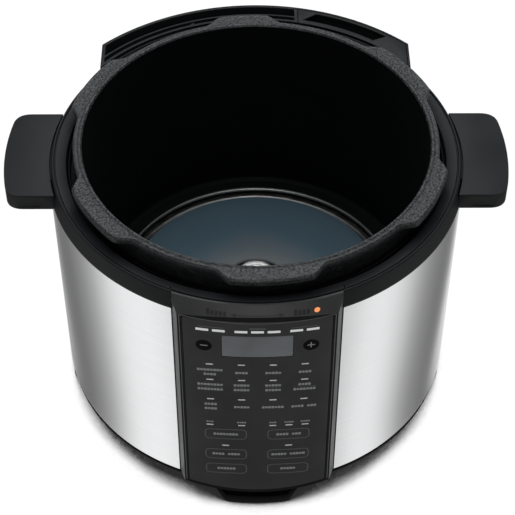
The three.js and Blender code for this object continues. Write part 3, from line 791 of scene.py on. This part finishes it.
def handle(side):
    """Right (1) or left (-1) grip, hollow below, with a shallow niche at each end."""
    name = "right" if side > 0 else "left"
    z0, z1 = HANDLE_LOW.z, HANDLE_HIGH.z
    grip = slab(f"{name}_grip", grip_plan(), z0, z1)
    over_drum = arc(DRUM_R + GAP, -20, 20, 40) + [(120, 45), (120, -45)]
    cut(grip, slab("ledge", over_drum, z0 - 1, DRUM_HIGH.z + 0.6))
    cut(grip, slab("hollow", rounded_rect(154.5, 0, 20, 68, 6), z0 - 1, z1 - 3))
    niche = rounded_rect(151.5, (z0 + z1) / 2 - 0.6, 17, 7.6, 1.0)
    for y in (-HANDLE_HALF, HANDLE_HALF):
        cut(grip, wall_slab("niche", niche, y - 0.4, y + 0.4))
    rounded_edges(grip, 0.9, 3, 50)
    tongue = block("tongue", 132, HANDLE_ROOT_R + 1, -22, 22, 203.5, 208.1)
    grip = joined(f"{name}_grip", [grip, tongue])
    if side < 0:
        turn_about_axis(grip, 180)
    finish_piece(grip, PLASTIC, "black_plastic", f"{name}_handle")


# ---- control panel ----

KEY_SEAM = 0.04
MARK_PROUD = 0.06
MARK_SUNK = 0.05


def face_y(x, depth=0.0):
    """Where the bowed face lies at x, at a depth behind its surface."""
    bend = FACE_BEND - depth
    return FACE_BEND - FRONT_REACH - math.sqrt(bend * bend - x * x)


def tile(name, cx, cz, w, h, r, front, back, spacing=3.0):
    """Rounded patch of the bowed face, from depth front to depth back behind its surface."""
    flat = w / 2 - r
    xs = set()
    for i in range(7):
        reach = flat + r * math.sin(math.radians(15 * i))
        xs.update((round(reach, 5), round(-reach, 5)))
    if flat > 0:
        xs.update(round(x, 5) for x in spread(-flat, flat, math.ceil(2 * flat / spacing)))
    verts, faces = [], []
    for x in sorted(xs):
        over = max(0.0, abs(x) - flat)
        top = h / 2 - (r - math.sqrt(max(0.0, r * r - over * over)))
        verts += [(cx + x, face_y(cx + x, depth), cz + z) for depth in (front, back) for z in (-top, top)]
    last = len(verts) - 4
    for a in range(0, last, 4):
        b = a + 4
        faces += [(a, b, b + 1, a + 1), (a + 2, a + 3, b + 3, b + 2)]
        faces += [(a, a + 2, b + 2, b), (a + 1, b + 1, b + 3, a + 3)]
    faces += [(0, 1, 3, 2), (last, last + 2, last + 3, last + 1)]
    return new_object(name, verts, faces, 40)


def outline_mark(name, cx, cz, w, h, r, line):
    """Thin printed line round a key, lying on the bowed face."""
    outer = rounded_rect(0, 0, w, h, r)
    inner = rounded_rect(0, 0, w - 2 * line, h - 2 * line, r - line)
    loops = []
    for points in (outer, inner):
        dense = []
        for i, (x0, z0) in enumerate(points):
            x1, z1 = points[(i + 1) % len(points)]
            steps = 8 if math.dist((x0, z0), (x1, z1)) > 5 else 1
            dense += [(x0 + (x1 - x0) * k / steps, z0 + (z1 - z0) * k / steps) for k in range(steps)]
        loops.append(dense)
    columns = []
    for (x0, z0), (x1, z1) in zip(*loops):
        corners = ((x0, z0, -MARK_PROUD), (x1, z1, -MARK_PROUD), (x1, z1, MARK_SUNK), (x0, z0, MARK_SUNK))
        columns.append([(cx + x, face_y(cx + x, depth), cz + z) for x, z, depth in corners])
    return sweep(name, columns, True)


def bar_mark(name, cx, cz, w, h, r=0.2):
    """Printed bar on the bowed face."""
    return tile(name, cx, cz, w, h, r, -MARK_PROUD, MARK_SUNK)


LETTER_PITCH = 2.1


def word_mark(name, cx, cz, words, height=2.3, pitch=LETTER_PITCH):
    """Runs of short upright blocks that stand for the printed words of one line."""
    parts = []
    total = sum(words) + len(words) - 1
    x = cx - pitch * (total - 1) / 2
    for number, letters in enumerate(words):
        for i in range(letters):
            tall = height * (0.84 if (i + number) % 3 == 1 else 1.0)
            parts.append(bar_mark(f"{name}_{number}_{i}", x, cz, pitch * 0.84, tall, 0.3))
            x += pitch
        x += pitch
    return joined(name, parts)


# each function key: letters in the words of its upper and lower printed line, row by row
FUNCTION_LABELS = [
    [((8,), (4,)), ((4,),), ((5,),), ((4,),)],
    [((8,), (8,)), ((5,), (5,)), ((5,), (5,)), ((4,), (7,))],
    [((4,), (4,)), ((5,),), ((7,),), ((4, 3),)]]
# the printed rows run level while the face falls back at both sides
ROW_RISE = -0.0012
FUNCTION_ROWS = [156.5, 141, 121]
FUNCTION_DASHES = [161.5, 145.8, 125.5]
FUNCTION_PITCH = 20.4
FUNCTION_DROPS = [5.8, 5.1, 5.5]
FUNCTION_LINES = [4.4, 4.9, 4.7]
OPTION_ROWS = [87.6, 65.1, 48.3]
OPTION_X = 21.1
OPTION_LABELS = [[(8,), (4, 3)], [(4, 4), (5, 5)], [(6,), (5,)]]
ROUND_KEY = (33.9, 178.6, 5.2)


def key_piece(node, cx, cz, w, h, r, material):
    """Key cap that stands for its CAD node and rides its body."""
    w, h, r = w - 2 * KEY_SEAM, h - 2 * KEY_SEAM, r - KEY_SEAM
    piece = tile(f"{node}_tile", cx, cz, w, h, r, 0.0, KEY_T)
    finish_piece(piece, material, "panel_print", node, body=node)


def arched(piece, rise):
    """Raise the far ends of a printed row into a shallow arch, or lower them below zero."""
    for vert in piece.data.vertices:
        across = vert.co.x / MM
        vert.co.z += rise * across * across * MM
    return piece


def marks_piece(name, parts, material, body, rise=0.0):
    """Printed marks joined into one piece."""
    finish_piece(arched(joined(name, parts), rise), material, "panel_print", body=body)


def function_keys():
    for row in range(3):
        for column in range(4):
            number = row * 4 + column + 1
            node = f"key_function_{number}"
            x = (column - 1.5) * FUNCTION_PITCH
            key_piece(node, x, FUNCTION_ROWS[row], FUNCTION_W, FUNCTION_H, FUNCTION_CORNER, SHEET_PLASTIC)
            dash = bar_mark("dash", x, FUNCTION_DASHES[row], 4.6, 1.1)
            marks_piece(f"dash_{number}", [dash], PRINT_LIGHT, node, ROW_RISE)
            lines = FUNCTION_LABELS[row][column]
            step = FUNCTION_LINES[row]
            drop = FUNCTION_DROPS[row] + (step / 2 if len(lines) == 1 else 0)
            top = FUNCTION_DASHES[row] - drop
            words = [word_mark("line", x, top - step * i, line) for i, line in enumerate(lines)]
            marks_piece(f"label_{number}", words, PRINT_GREY, node, ROW_RISE)
            if row == 1:
                width = LETTER_PITCH * max(sum(line) for line in lines)
                rule = bar_mark("rule", x, top - step / 2, width, 0.3, 0.1)
                marks_piece(f"rule_{number}", [rule], PRINT_AND_HIGHLIGHT_LINE, node, ROW_RISE)


def option_keys():
    for row in range(3):
        for side in (-1, 1):
            number = row * 2 + (side + 3) // 2
            node = f"key_option_{number}"
            x, z = side * OPTION_X, OPTION_ROWS[row]
            key_piece(node, x, z, OPTION_W, OPTION_H, OPTION_CORNER, SHEET_PLASTIC)
            ring = outline_mark("ring", x, z, 28.2, 11.0, 3.4, 0.6)
            marks_piece(f"outline_{number}", [ring], PRINT_AND_HIGHLIGHT_LINE, "cooker", ROW_RISE)
            label = word_mark("word", x, z, OPTION_LABELS[row][(side + 1) // 2], 2.4)
            marks_piece(f"option_label_{number}", [label], PRINT_GREY, node, ROW_RISE)


def round_keys():
    x, z, r = ROUND_KEY
    for node, side in (("key_minus", -1), ("key_plus", 1)):
        key_piece(node, side * x, z, 2 * r, 2 * r, r, KEY_BLACK)
        strokes = [bar_mark("across", side * x, z, 4.8, 0.75, 0.1)]
        if side > 0:
            strokes.append(bar_mark("upright", side * x, z, 0.75, 4.8, 0.1))
        marks_piece(f"{node}_sign", strokes, PRINT_GREY, node)


def panel_sheet():
    """Printed sheet with openings for the keys, and the display's pane."""
    z0, z1 = FACE_LOW.z, FACE_HIGH.z
    sheet = tile("panel_sheet", 0, (z0 + z1) / 2, 2 * OVERLAY_HALF, z1 - z0, 0.8, 0.0, OVERLAY_T, 2.0)
    cut(sheet, above_hem(OVERLAY_HEM), "INTERSECT")

    def hole(cx, cz, wide, high, corner):
        return tile("hole", cx, cz, wide, high, corner, -4, 6)

    x, z, r = ROUND_KEY
    tools = [hole(s * x, z, 2 * r, 2 * r, r) for s in (-1, 1)]
    for row in FUNCTION_ROWS:
        across = [(column - 1.5) * FUNCTION_PITCH for column in range(4)]
        tools += [hole(cx, row, FUNCTION_W, FUNCTION_H, FUNCTION_CORNER) for cx in across]
    for row in OPTION_ROWS:
        tools += [hole(s * OPTION_X, row, OPTION_W, OPTION_H, OPTION_CORNER) for s in (-1, 1)]
    low, high = frame_box("display_window")
    middle, w, h = (low.z + high.z) / 2, high.x - low.x, high.z - low.z
    tools.append(hole(0, middle, w + 0.6, h + 0.6, 1.0))
    cut(sheet, joined("tools", tools))
    shade(sheet, 40)
    finish_piece(sheet, SHEET_PLASTIC, "panel_print", "panel_face")
    window = tile("display_pane", 0, middle, w, h, 0.8, 0.2, OVERLAY_T)
    rounded_edges(window, 0.2, 2, 50)
    finish_piece(window, DISPLAY_GREY, "display_glass", "display_window")


LED_X = [0, 10.3, -10.3, 24.4, -24.4, 34.7, -34.7]
LED_Z = 194.0
# top, rise and side place of the painted highlight line on the panel frame's lip
FRAME_TOP = 201.9
FRAME_RISE = 0.0013
FRAME_HIGHLIGHT_X = 48.9


def sheet_marks():
    """Status bars, small captions and dashes printed on the fixed sheet."""
    bars = [bar_mark("bar", x, LED_Z, 8.0, 2.1) for x in LED_X]
    marks_piece("status_bars", bars, LED_WHITE, "cooker")
    hints = [bar_mark("hint", x, LED_Z + 2.9, 16, 0.5) for x in (-29.5, 29.5)]
    hints.append(word_mark("hint", 0, LED_Z + 3.2, (6,), 1.3, 1.7))
    marks_piece("status_hints", hints, PRINT_AND_HIGHLIGHT_LINE, "cooker")
    dashes = [bar_mark("dash", x, 97.7, 4.6, 1.1) for x in (-31.5, -10.4, 10.4, 21.2, 32)]
    dashes += [bar_mark("dash", s * 21.3, 75, 4.8, 1.1) for s in (-1, 1)]
    marks_piece("option_dashes", dashes, PRINT_LIGHT, "cooker", ROW_RISE)
    captions = ((-31.5, 3), (-10.4, 4), (10.4, 3), (21.2, 4), (32, 4))
    words = [word_mark("word", x, 101.0, (n,), 1.5, 1.6) for x, n in captions]
    marks_piece("option_captions", words, PRINT_GREY, "cooker", ROW_RISE)


DOT_X = 36.9
# the slanted band over the panel: radius and height of its middle, and its outward lean
BAND_R = 141.4
BAND_Z = 209.9
BAND_OUT = (0.68, 0.733)


def band_mark(name, points):
    """Printed patch on the slanted band; points are (across, up the slope) from the band's middle line."""
    out_r, out_z = BAND_OUT
    layers = []
    for lift in (MARK_PROUD, -MARK_SUNK):
        layer = []
        for x, up in points:
            r = BAND_R - up * out_z + lift * out_r
            z = BAND_Z + up * out_r + lift * out_z
            layer.append((x, -math.sqrt(r * r - x * x), z))
        layers.append(layer)
    return pushed(name, *layers, 30)


def band_marks():
    """Lid direction marks: a double arrow, blocks for its two end words, and the indicator dot; and a
    painted highlight line round the panel frame.
    """
    parts = []
    for i in range(8):
        x0, x1 = -13.6 + 3.4 * i, -13.6 + 3.4 * (i + 1)
        parts.append(band_mark("line", [(x0, -2.2), (x1, -2.2), (x1, -1.6), (x0, -1.6)]))
    for side in (-1, 1):
        parts.append(band_mark("head", [(side * 13.4, -3.2), (side * 17.0, -1.9), (side * 13.4, -0.6)]))
    for centre, letters in ((-25.6, 5), (27.4, 4)):
        for i in range(letters):
            x = centre + 2.6 * (i - (letters - 1) / 2)
            tall = 0.6 if i == 0 else -0.2
            left, right = x - 0.95, x + 0.95
            parts.append(band_mark("block", [(left, -3.3), (right, -3.3), (right, tall), (left, tall)]))
    marks_piece("lid_arrow", parts, PRINT_DARK, "cooker")
    dot = band_mark("dot", [(DOT_X + 1.8 * x, 1.5 * z - 1.7) for x, z in circle(0, 0, 1, 24)])
    marks_piece("lid_dot", [dot], ORANGE, "cooker")
    # thin lighter line round the panel frame: a painted highlight of the frame lip's edge
    top = FRAME_TOP + FRAME_RISE * FRAME_HIGHLIGHT_X ** 2
    low = FRAME_LOW.z + 9
    sides = (-FRAME_HIGHLIGHT_X, FRAME_HIGHLIGHT_X)
    lines = [bar_mark("line", x, (top + low) / 2, 0.5, top - low, 0.1) for x in sides]
    lines.append(arched(bar_mark("line", 0, FRAME_TOP, 2 * FRAME_HIGHLIGHT_X - 0.5, 0.5, 0.1), FRAME_RISE))
    marks_piece("frame_highlight", lines, PRINT_AND_HIGHLIGHT_LINE, "cooker")


def panel_plan(inset, back):
    """Plan of the panel frame: flat sides, slanted facets and the bowed face."""
    half = FACE_HALF - inset
    foot = PANEL_FOOT_X - inset * 0.75
    bowed = [(x, face_y(x, inset)) for x in spread(-half, half, 48)]
    return [(-foot, back), (-foot, -PANEL_FOOT_Y)] + bowed + [(foot, -PANEL_FOOT_Y), (foot, back)]


def axis_disc(r, z0, z1):
    """Cylinder on the pot's axis, as a tool."""
    return slab("disc", circle(0, 0, r, 256), z0, z1)


def face_slab(name, half, z0, z1, front, back):
    """Slab behind the bowed face, from one layer to another."""
    xs = spread(-half, half, 40)
    outline = [(x, face_y(x, front)) for x in xs] + [(x, face_y(x, back)) for x in reversed(xs)]
    return slab(name, outline, z0, z1)


def above_hem(hem):
    """Everything above the curved lower edge of the panel, held back by a hem."""
    centre = FRAME_LOW.z + PANEL_HEM_R
    edge = [(x, z + centre) for x, z in arc(PANEL_HEM_R - hem, 250, 290, 40)]
    right = edge[-1][0]
    return wall_slab("above_hem", edge + [(right, 220), (-right, 220)], -160, -100)


def panel_frame():
    """Housing of the panel, hollow, with a seat for the printed sheet."""
    z0, z1 = FRAME_LOW.z, FRAME_HIGH.z
    back = FRAME_HIGH.y
    shell = slab("panel_frame", panel_plan(0, back), z0, z1 + 1)
    crown = [(0, z0 - 1), (152, z0 - 1), (152, 200.3), (143.5, 208), (139.4, 211.8), (138, z1 - 0.2),
             (PANEL_TOP_R, z1), (0, z1)]
    cut(shell, turned_solid("crown", crown, 256), "INTERSECT")
    cut(shell, slab("hollow", panel_plan(2.4, back + 1), z0 - 1, 204.5))
    cut(shell, axis_disc(BASE_R + GAP, z0 - 1, LIP_TOP + GAP))
    cut(shell, axis_disc(PANEL_TOP_R, 190, z1 + 5))
    cut(shell, axis_disc(129.5, z0 - 1, z1 + 5))
    seat = OVERLAY_HALF + GAP
    sheet_high = FACE_HIGH.z
    recess = face_slab("seat", seat, z0, sheet_high + GAP, -3, OVERLAY_T + GAP)
    cut(recess, above_hem(OVERLAY_HEM - GAP), "INTERSECT")
    window = face_slab("window", seat - 3, z0, sheet_high - 3, -3, 12)
    cut(window, above_hem(OVERLAY_HEM + 3), "INTERSECT")
    cut(shell, above_hem(0), "INTERSECT")
    cut(shell, recess)
    cut(shell, window)
    rounded_edges(shell, 0.7, 3, 28)
    finish_piece(shell, PLASTIC, "black_plastic", "panel_housing")
    shell.data.materials.append(EDGE_PLASTIC)
    shell.data.materials.append(BAND_PLASTIC)
    for face in shell.data.polygons:
        x = face.center.x / MM
        if face.center.z > (sheet_high + 0.4) * MM and face.normal.z > 0.2:
            face.material_index = 2
        outward = face.normal.x * x > 0
        if abs(x) > FACE_HALF - 0.4 and outward and 0.3 < abs(face.normal.x) and abs(face.normal.z) < 0.5:
            face.material_index = 1


# ---- rear housing ----


def housing_plan(outer_r, inner_r, left, right, count=72):
    """Plan between two arcs behind the drum, from a left to a right limit of x."""

    def angle_at(r, x):
        return math.degrees(math.acos(x / r))

    outer = arc(outer_r, angle_at(outer_r, right), angle_at(outer_r, left), count)
    inner = arc(inner_r, angle_at(inner_r, left), angle_at(inner_r, right), count)
    return outer + inner


def rear_housing():
    """Curved trough behind the drum, with the cup's two rails under it."""
    z1 = HOUSING_HIGH.z
    base = HOUSING_Z0
    floor = base + 3
    edge = HOUSING_HALF - HOUSING_WALL
    tub = slab("rear_tub", housing_plan(REAR_R, HOUSING_INNER_R, -HOUSING_HALF, HOUSING_HALF), base, z1)
    well_plan = housing_plan(REAR_R - HOUSING_WALL, LEDGE_R, -edge, DIVIDER_X - 1.2)
    cut(tub, slab("open", well_plan, floor, z1 + 1))
    cut(tub, slab("step", housing_plan(LEDGE_R - 1.5, 143, -edge, DIVIDER_X - 1.2), z1 - 4, z1 + 1))
    covered = housing_plan(REAR_R - HOUSING_WALL - 1, 144.5, DIVIDER_X + 2.5, edge - 1)
    cut(tub, slab("covered", covered, floor, z1 + 1))
    seat = housing_plan(REAR_R - 1.5, 140, DIVIDER_X + 1.2, HOUSING_HALF - 1.5)
    cut(tub, slab("seat", seat, z1 - 2.2, z1 + 1))
    cut(tub, slab("drain", circle(0, 151, 3, 32), base - 1, floor + 1))
    rounded_edges(tub, 0.7, 3, 40)
    parts = [tub]
    rail = ((34.6, base + 1), (34.6, 143.4), (32.6, 143.4), (32.6, 139), (37.5, 139), (37.5, base + 1))
    for side in (-1, 1):
        strip = wall_slab("rail", [(side * x, z) for x, z in rail], 130, 153)
        cut(strip, axis_disc(HOUSING_INNER_R, 100, 160))
        rounded_edges(strip, 0.3, 2, 50)
        parts.append(strip)
    nub = block("nub", -47.2, -44.6, 136.2, 139.4, z1 - 4.5, z1 - 1.2)
    rounded_edges(nub, 0.4, 2, 50)
    parts.append(nub)
    tub = joined("rear_tub", parts)
    finish_piece(tub, PLASTIC, "black_plastic", "rear_housing")


def rear_cover():
    """Lid over the right end of the trough, with a curved slot."""
    z1 = HOUSING_HIGH.z
    plan = housing_plan(REAR_R - 1.8, HOUSING_INNER_R, DIVIDER_X + 1.5, HOUSING_HALF - 1.8, 40)
    lid = slab("rear_lid", plan, z1 - 1.9, z1)
    slot = arc(154, 52, 73, 24) + arc(145, 76, 54, 24)
    cut(lid, slab("slot", slot, z1 - 5, z1 + 1))
    rounded_edges(lid, 0.45, 3, 40)
    finish_piece(lid, PLASTIC, "black_plastic", "rear_cover")


def condensation_cup():
    """Open cup under the rear housing, hung by its rim."""
    low, high = frame_box("condensation_cup")
    half = CUP_HALF
    cup = slab("cup_tub", housing_plan(REAR_R - 0.8, 141.4, -half, half, 40), low.z, high.z)
    rim = slab("rim", housing_plan(153, 141.4, -half - 2, half + 2, 40), CUP_RIM_Z, high.z)
    cut(cup, rim, "UNION")
    inside = housing_plan(REAR_R - 2.8, 143.4, -half + 2, half - 2, 40)
    cut(cup, slab("inside", inside, low.z + 2, high.z + 1))
    rounded_edges(cup, 0.6, 3, 40)
    finish_piece(cup, PLASTIC, "black_plastic", "condensation_cup", body="cup")


# ---- base ----


def foot_block(top, bottom, z0, z1, y0, y1):
    """Front view of a foot, from its half width at the top to that at the bottom."""
    return wall_slab("foot", [(-bottom, z0), (bottom, z0), (top, z1), (-top, z1)], y0, y1)


def turn_about_axis(obj, degrees):
    """Turn a mesh about the pot's axis."""
    there = Matrix.Translation((0, AXIS_Y, 0))
    back = Matrix.Translation((0, -AXIS_Y, 0))
    obj.data.transform(there @ Matrix.Rotation(math.radians(degrees), 4, "Z") @ back)
    return obj


def base_tray():
    """Base pan with its four feet."""
    pan = revolve("base_tray", [
        (HATCH_R, BASE_Z), (BASE_R - 2, BASE_Z), (BASE_R - 0.6, BASE_Z + 0.4), (BASE_R, BASE_Z + 1.5),
        (BASE_R, 23.8), (BASE_R - 0.9, 24.6), (BASE_R - 0.9, LIP_TOP), (136.2, LIP_TOP),
        (136.2, BASE_Z + 2.6), (HATCH_R, BASE_Z + 2.6)], 256)
    for angle in (0, 90, 180, 270):
        top, bottom, front = FOOT_TOP_HALF, FOOT_BOTTOM_HALF, -BASE_R - 2
        foot = foot_block(top, bottom, 1, BASE_Z + 1, front, -FOOT_INNER_R)
        cut(foot, axis_disc(BASE_R + 0.3, 0, BASE_Z + 1), "INTERSECT")
        cut(foot, foot_block(top - 4, bottom - 1, 8.5, BASE_Z - 1.5, front, -BASE_R + 5))
        cut(foot, block("seat", -16.3, 16.3, -133.3, -118.7, 0, 3.3))
        rounded_edges(foot, 0.8, 3, 40)
        cut(pan, turn_about_axis(foot, angle), "UNION")
    for angle in SCREW_ANGLES:
        hole = slab("hole", circle(COVER_SCREW_R, 0, 1.9, 24), 18, 26)
        cut(pan, turn_about_axis(hole, angle))
    shade(pan, 35)
    # the darker plastic on the pan and feet is painted shade under the drum
    finish_piece(pan, DARK_AND_SHADED_PLASTIC, "black_plastic", "base_pan")


def base_cover():
    """Slotted cover under the base, its screws and the rubber pads."""
    low, high = frame_box("bottom_cover")
    lid = slab("base_lid", circle(0, 0, COVER_R, 128), low.z, high.z)
    slot = rounded_rect(38, 0, 26, 4.5, 2.2)
    tools = [turn_about_axis(slab("slot", slot, 10, 25), i * 45) for i in range(8)]
    for angle in SCREW_ANGLES:
        hole = slab("hole", circle(COVER_SCREW_R, 0, 2, 24), 10, 25)
        tools.append(turn_about_axis(hole, angle))
    cut(lid, joined("tools", tools))
    rounded_edges(lid, 0.4, 2, 40)
    finish_piece(lid, DARK_AND_SHADED_PLASTIC, "black_plastic", "bottom_cover")
    for number, angle in enumerate(SCREW_ANGLES, 1):
        head = low.z - 0.3
        screw = turned_solid("screw", [
            (0, head - 2), (1.6, head - 1.95), (2.6, head - 1.6), (3.2, head - 0.8), (3.2, head),
            (1.5, head), (1.5, 24), (0, 24)], 32)
        for across in ((0.4, 1.7), (1.7, 0.4)):
            cut(screw, block("cross", -across[0], across[0], -across[1], across[1], head - 3, head - 1.1))
        screw.data.transform(Matrix.Translation((COVER_SCREW_R * MM, 0, 0)))
        screw.name = f"base_screw_{number}"
        turn_about_axis(screw, angle)
        finish_piece(screw, SCREW_METAL, "screw_steel", f"cover_screw_{number}")
    for name, angle in (("front", 0), ("right", 90), ("rear", 180), ("left", 270)):
        pad = slab(f"rubber_pad_{name}", rounded_rect(0, -126, 32, 14, 3), 0, 3)
        rounded_edges(pad, 0.6, 3, 50)
        turn_about_axis(pad, angle)
        finish_piece(pad, RUBBER, "foot_rubber", f"foot_pad_{name}")


def inlet():
    """Three-pin power inlet at the lower rear."""
    face, back, middle = INLET_FACE, INLET_BACK, INLET_Z
    body = wall_slab("inlet_body", rounded_rect(0, middle, 31, 24, 2), back, face)
    bezel = wall_slab("bezel", rounded_rect(0, middle, 40, 32, 3), 130, face)
    cut(bezel, axis_disc(DRUM_R + GAP, 0, 100))
    cut(body, bezel, "UNION")
    mouth = [(-12, -8), (12, -8), (12, 4), (8, 8), (-8, 8), (-12, 4)]
    cut(body, wall_slab("mouth", [(x, z + middle) for x, z in mouth], face - 18, face + 1))
    pins = [(-7, middle - 2), (7, middle - 2), (0, middle + 2)]
    for x, z in pins:
        cut(body, block("slot", x - 1.3, x + 1.3, back - 1, face - 4, z - 2.3, z + 2.3))
    rounded_edges(body, 0.5, 2, 40)
    finish_piece(body, PLASTIC, "black_plastic", "power_inlet")
    for number, (x, z) in enumerate(pins, 1):
        pin = block(f"pin_{number}", x - 1, x + 1, back - 6, face - 5, z - 2, z + 2)
        rounded_edges(pin, 0.35, 2, 50)
        finish_piece(pin, BRASS, "brass", f"inlet_pin_{number}")


# ---- studio ----

FLOOR_GLOW = 1.03
CONTACT_REACH = 60
# grey ramp over ambient occlusion: the painted contact shadow on the glowing floor
CONTACT_SHADOW_STOPS = [(0.0, 0.01), (0.44, 0.03), (0.465, 0.11), (0.49, 0.4), (0.52, 0.8), (0.56, 1.0)]
# glow of the reflector fan: degrees from the front of the drum, brightness on its left and right half
FAN_STOPS = [
    (0, 0.10, 0.10), (19, 0.10, 0.10), (21, 0.575, 0.455), (25, 0.64, 0.51), (30, 0.69, 0.625),
    (34, 0.68, 0.65), (38, 0.655, 0.62), (42, 0.56, 0.525), (46, 0.41, 0.39), (50, 0.285, 0.265),
    (55, 0.195, 0.18), (62, 0.125, 0.13), (66, 0.12, 0.135), (70, 0.135, 0.215), (75, 0.22, 0.51),
    (80, 0.385, 0.65), (90, 0.395, 0.61)]
FAN_GAIN = 1.5
FLOOR_HALF = 3000
FAN_HEIGHT = 0.6
FAN_REACH = 900
WORLD_STRENGTH = 0.3
TOP_WATTS = 88
EDGE_WATTS = 5
LENS = 112.09
SHIFT_X = 0.0029
SHIFT_Y = -0.0013
CAMERA_RISE = 47.17
CAMERA_TURN = -0.42
CAMERA_ROLL = 0.13
CAMERA_TARGET_Z = 108.3
CAMERA_DISTANCE = 1157.9


def glowing_ramp(name, strength, stops):
    """Emission fed by a grey ramp; gives the material, its node tree and the ramp's input."""
    material = bpy.data.materials.new(name)
    material.use_nodes = True
    tree = material.node_tree
    tree.nodes.clear()
    ramp = tree.nodes.new("ShaderNodeValToRGB")
    fill_ramp(ramp, stops)
    emit = tree.nodes.new("ShaderNodeEmission")
    emit.inputs["Strength"].default_value = strength
    out = tree.nodes.new("ShaderNodeOutputMaterial")
    tree.links.new(ramp.outputs["Color"], emit.inputs["Color"])
    tree.links.new(emit.outputs["Emission"], out.inputs["Surface"])
    return material, tree, ramp.inputs["Fac"]


def floor_material():
    """Evenly bright white floor with a painted contact shadow: an occlusion ramp darkens it where the base
    stands close over it.
    """
    material, tree, value = glowing_ramp("floor_white", FLOOR_GLOW, CONTACT_SHADOW_STOPS)
    near = tree.nodes.new("ShaderNodeAmbientOcclusion")
    near.samples = 16
    near.inputs["Distance"].default_value = CONTACT_REACH * MM
    tree.links.new(near.outputs["Color"], value)
    return material


def fan_material(name, stops):
    """Emission that follows the first UV axis through a grey ramp."""
    material, tree, value = glowing_ramp(name, FAN_GAIN, stops)
    uv = tree.nodes.new("ShaderNodeUVMap")
    uv.uv_map = "across"
    split = tree.nodes.new("ShaderNodeSeparateXYZ")
    tree.links.new(uv.outputs["UV"], split.inputs["Vector"])
    tree.links.new(split.outputs["X"], value)
    return material


def reflector_fan(name, facing, left, height):
    """Card on the floor that only reflections see, laid out in rays from the foot of the drum."""
    steps = 45
    verts, faces, across = [], [], []
    for i in range(steps + 1):
        away = 90 * i / steps
        turn = -away if left else away
        foot = polar(142, facing + turn, height)
        heading = math.radians(facing + 2 * turn)
        far = (foot[0] + FAN_REACH * math.cos(heading), foot[1] + FAN_REACH * math.sin(heading), height)
        verts += [foot, far]
        across += [away / 90, away / 90]
    for i in range(steps):
        faces.append((2 * i, 2 * i + 1, 2 * i + 3, 2 * i + 2))
    mesh = bpy.data.meshes.new(name)
    mesh.from_pydata([place(*v) for v in verts], [], faces)
    layer = mesh.uv_layers.new(name="across")
    for loop in mesh.loops:
        layer.data[loop.index].uv = (across[loop.vertex_index], 0.5)
    card = bpy.data.objects.new(name, mesh)
    scene.collection.objects.link(card)
    stops = [(away / 90, low if left else high) for away, low, high in FAN_STOPS]
    mesh.materials.append(fan_material(name, stops))
    card.visible_camera = False
    card.visible_diffuse = False
    card.visible_shadow = False
    card.visible_transmission = False


def studio():
    far = FLOOR_HALF
    corners = [(-far, -far, 0), (far, -far, 0), (far, far, 0), (-far, far, 0)]
    floor = new_object("floor", corners, [(0, 1, 2, 3)])
    floor.data.materials.append(floor_material())
    world = bpy.data.worlds.new("studio")
    scene.world = world
    world.use_nodes = True
    background = world.node_tree.nodes["Background"]
    background.inputs["Color"].default_value = (1, 1, 1, 1)
    background.inputs["Strength"].default_value = WORLD_STRENGTH
    top = add_light("top_light", (0, 550, 1500), (0, 0, 0), 1900, TOP_WATTS)
    top.visible_glossy = False
    shine = add_light("shine", (0, 1000, 1500), (0, -130, 220), 500, 5)
    shine.visible_diffuse = False
    edge = add_light("edge_glow", (0, -1100, 1000), (0, 0, 220), 300, EDGE_WATTS)
    edge.visible_diffuse = False
    for facing, height in ((270, FAN_HEIGHT), (90, FAN_HEIGHT / 2)):
        for left in (True, False):
            reflector_fan(f"reflector_{facing}_{'left' if left else 'right'}", facing, left, height)


def add_light(name, where, target, size, watts):
    data = bpy.data.lights.new(name, "AREA")
    data.size = size * MM
    data.energy = watts
    light = bpy.data.objects.new(name, data)
    light.location = place(*where)
    direction = Vector(place(*target)) - light.location
    light.rotation_euler = direction.to_track_quat("-Z", "Y").to_euler()
    scene.collection.objects.link(light)
    return light


def camera():
    data = bpy.data.cameras.new("camera")
    data.sensor_width = 36
    data.lens = LENS
    data.shift_x = SHIFT_X
    data.shift_y = SHIFT_Y
    data.clip_end = 20
    cam = bpy.data.objects.new("camera", data)
    rise = math.radians(CAMERA_RISE)
    turn = math.radians(CAMERA_TURN)
    target = Vector(place(0, 0, CAMERA_TARGET_Z))
    away = Vector((math.sin(turn) * math.cos(rise), -math.cos(turn) * math.cos(rise), math.sin(rise)))
    cam.location = target + away * CAMERA_DISTANCE * MM
    roll = Matrix.Rotation(math.radians(CAMERA_ROLL), 3, away)
    cam.rotation_euler = (roll @ (-away).to_track_quat("-Z", "Y").to_matrix()).to_euler()
    scene.collection.objects.link(cam)
    scene.camera = cam


drum_sheet()
collar()
cooking_well()
heating_plate()
sensor()
handle(1)
handle(-1)
panel_frame()
panel_sheet()
sheet_marks()
band_marks()
round_keys()
function_keys()
option_keys()
rear_housing()
rear_cover()
condensation_cup()
base_tray()
base_cover()
inlet()
studio()
camera()
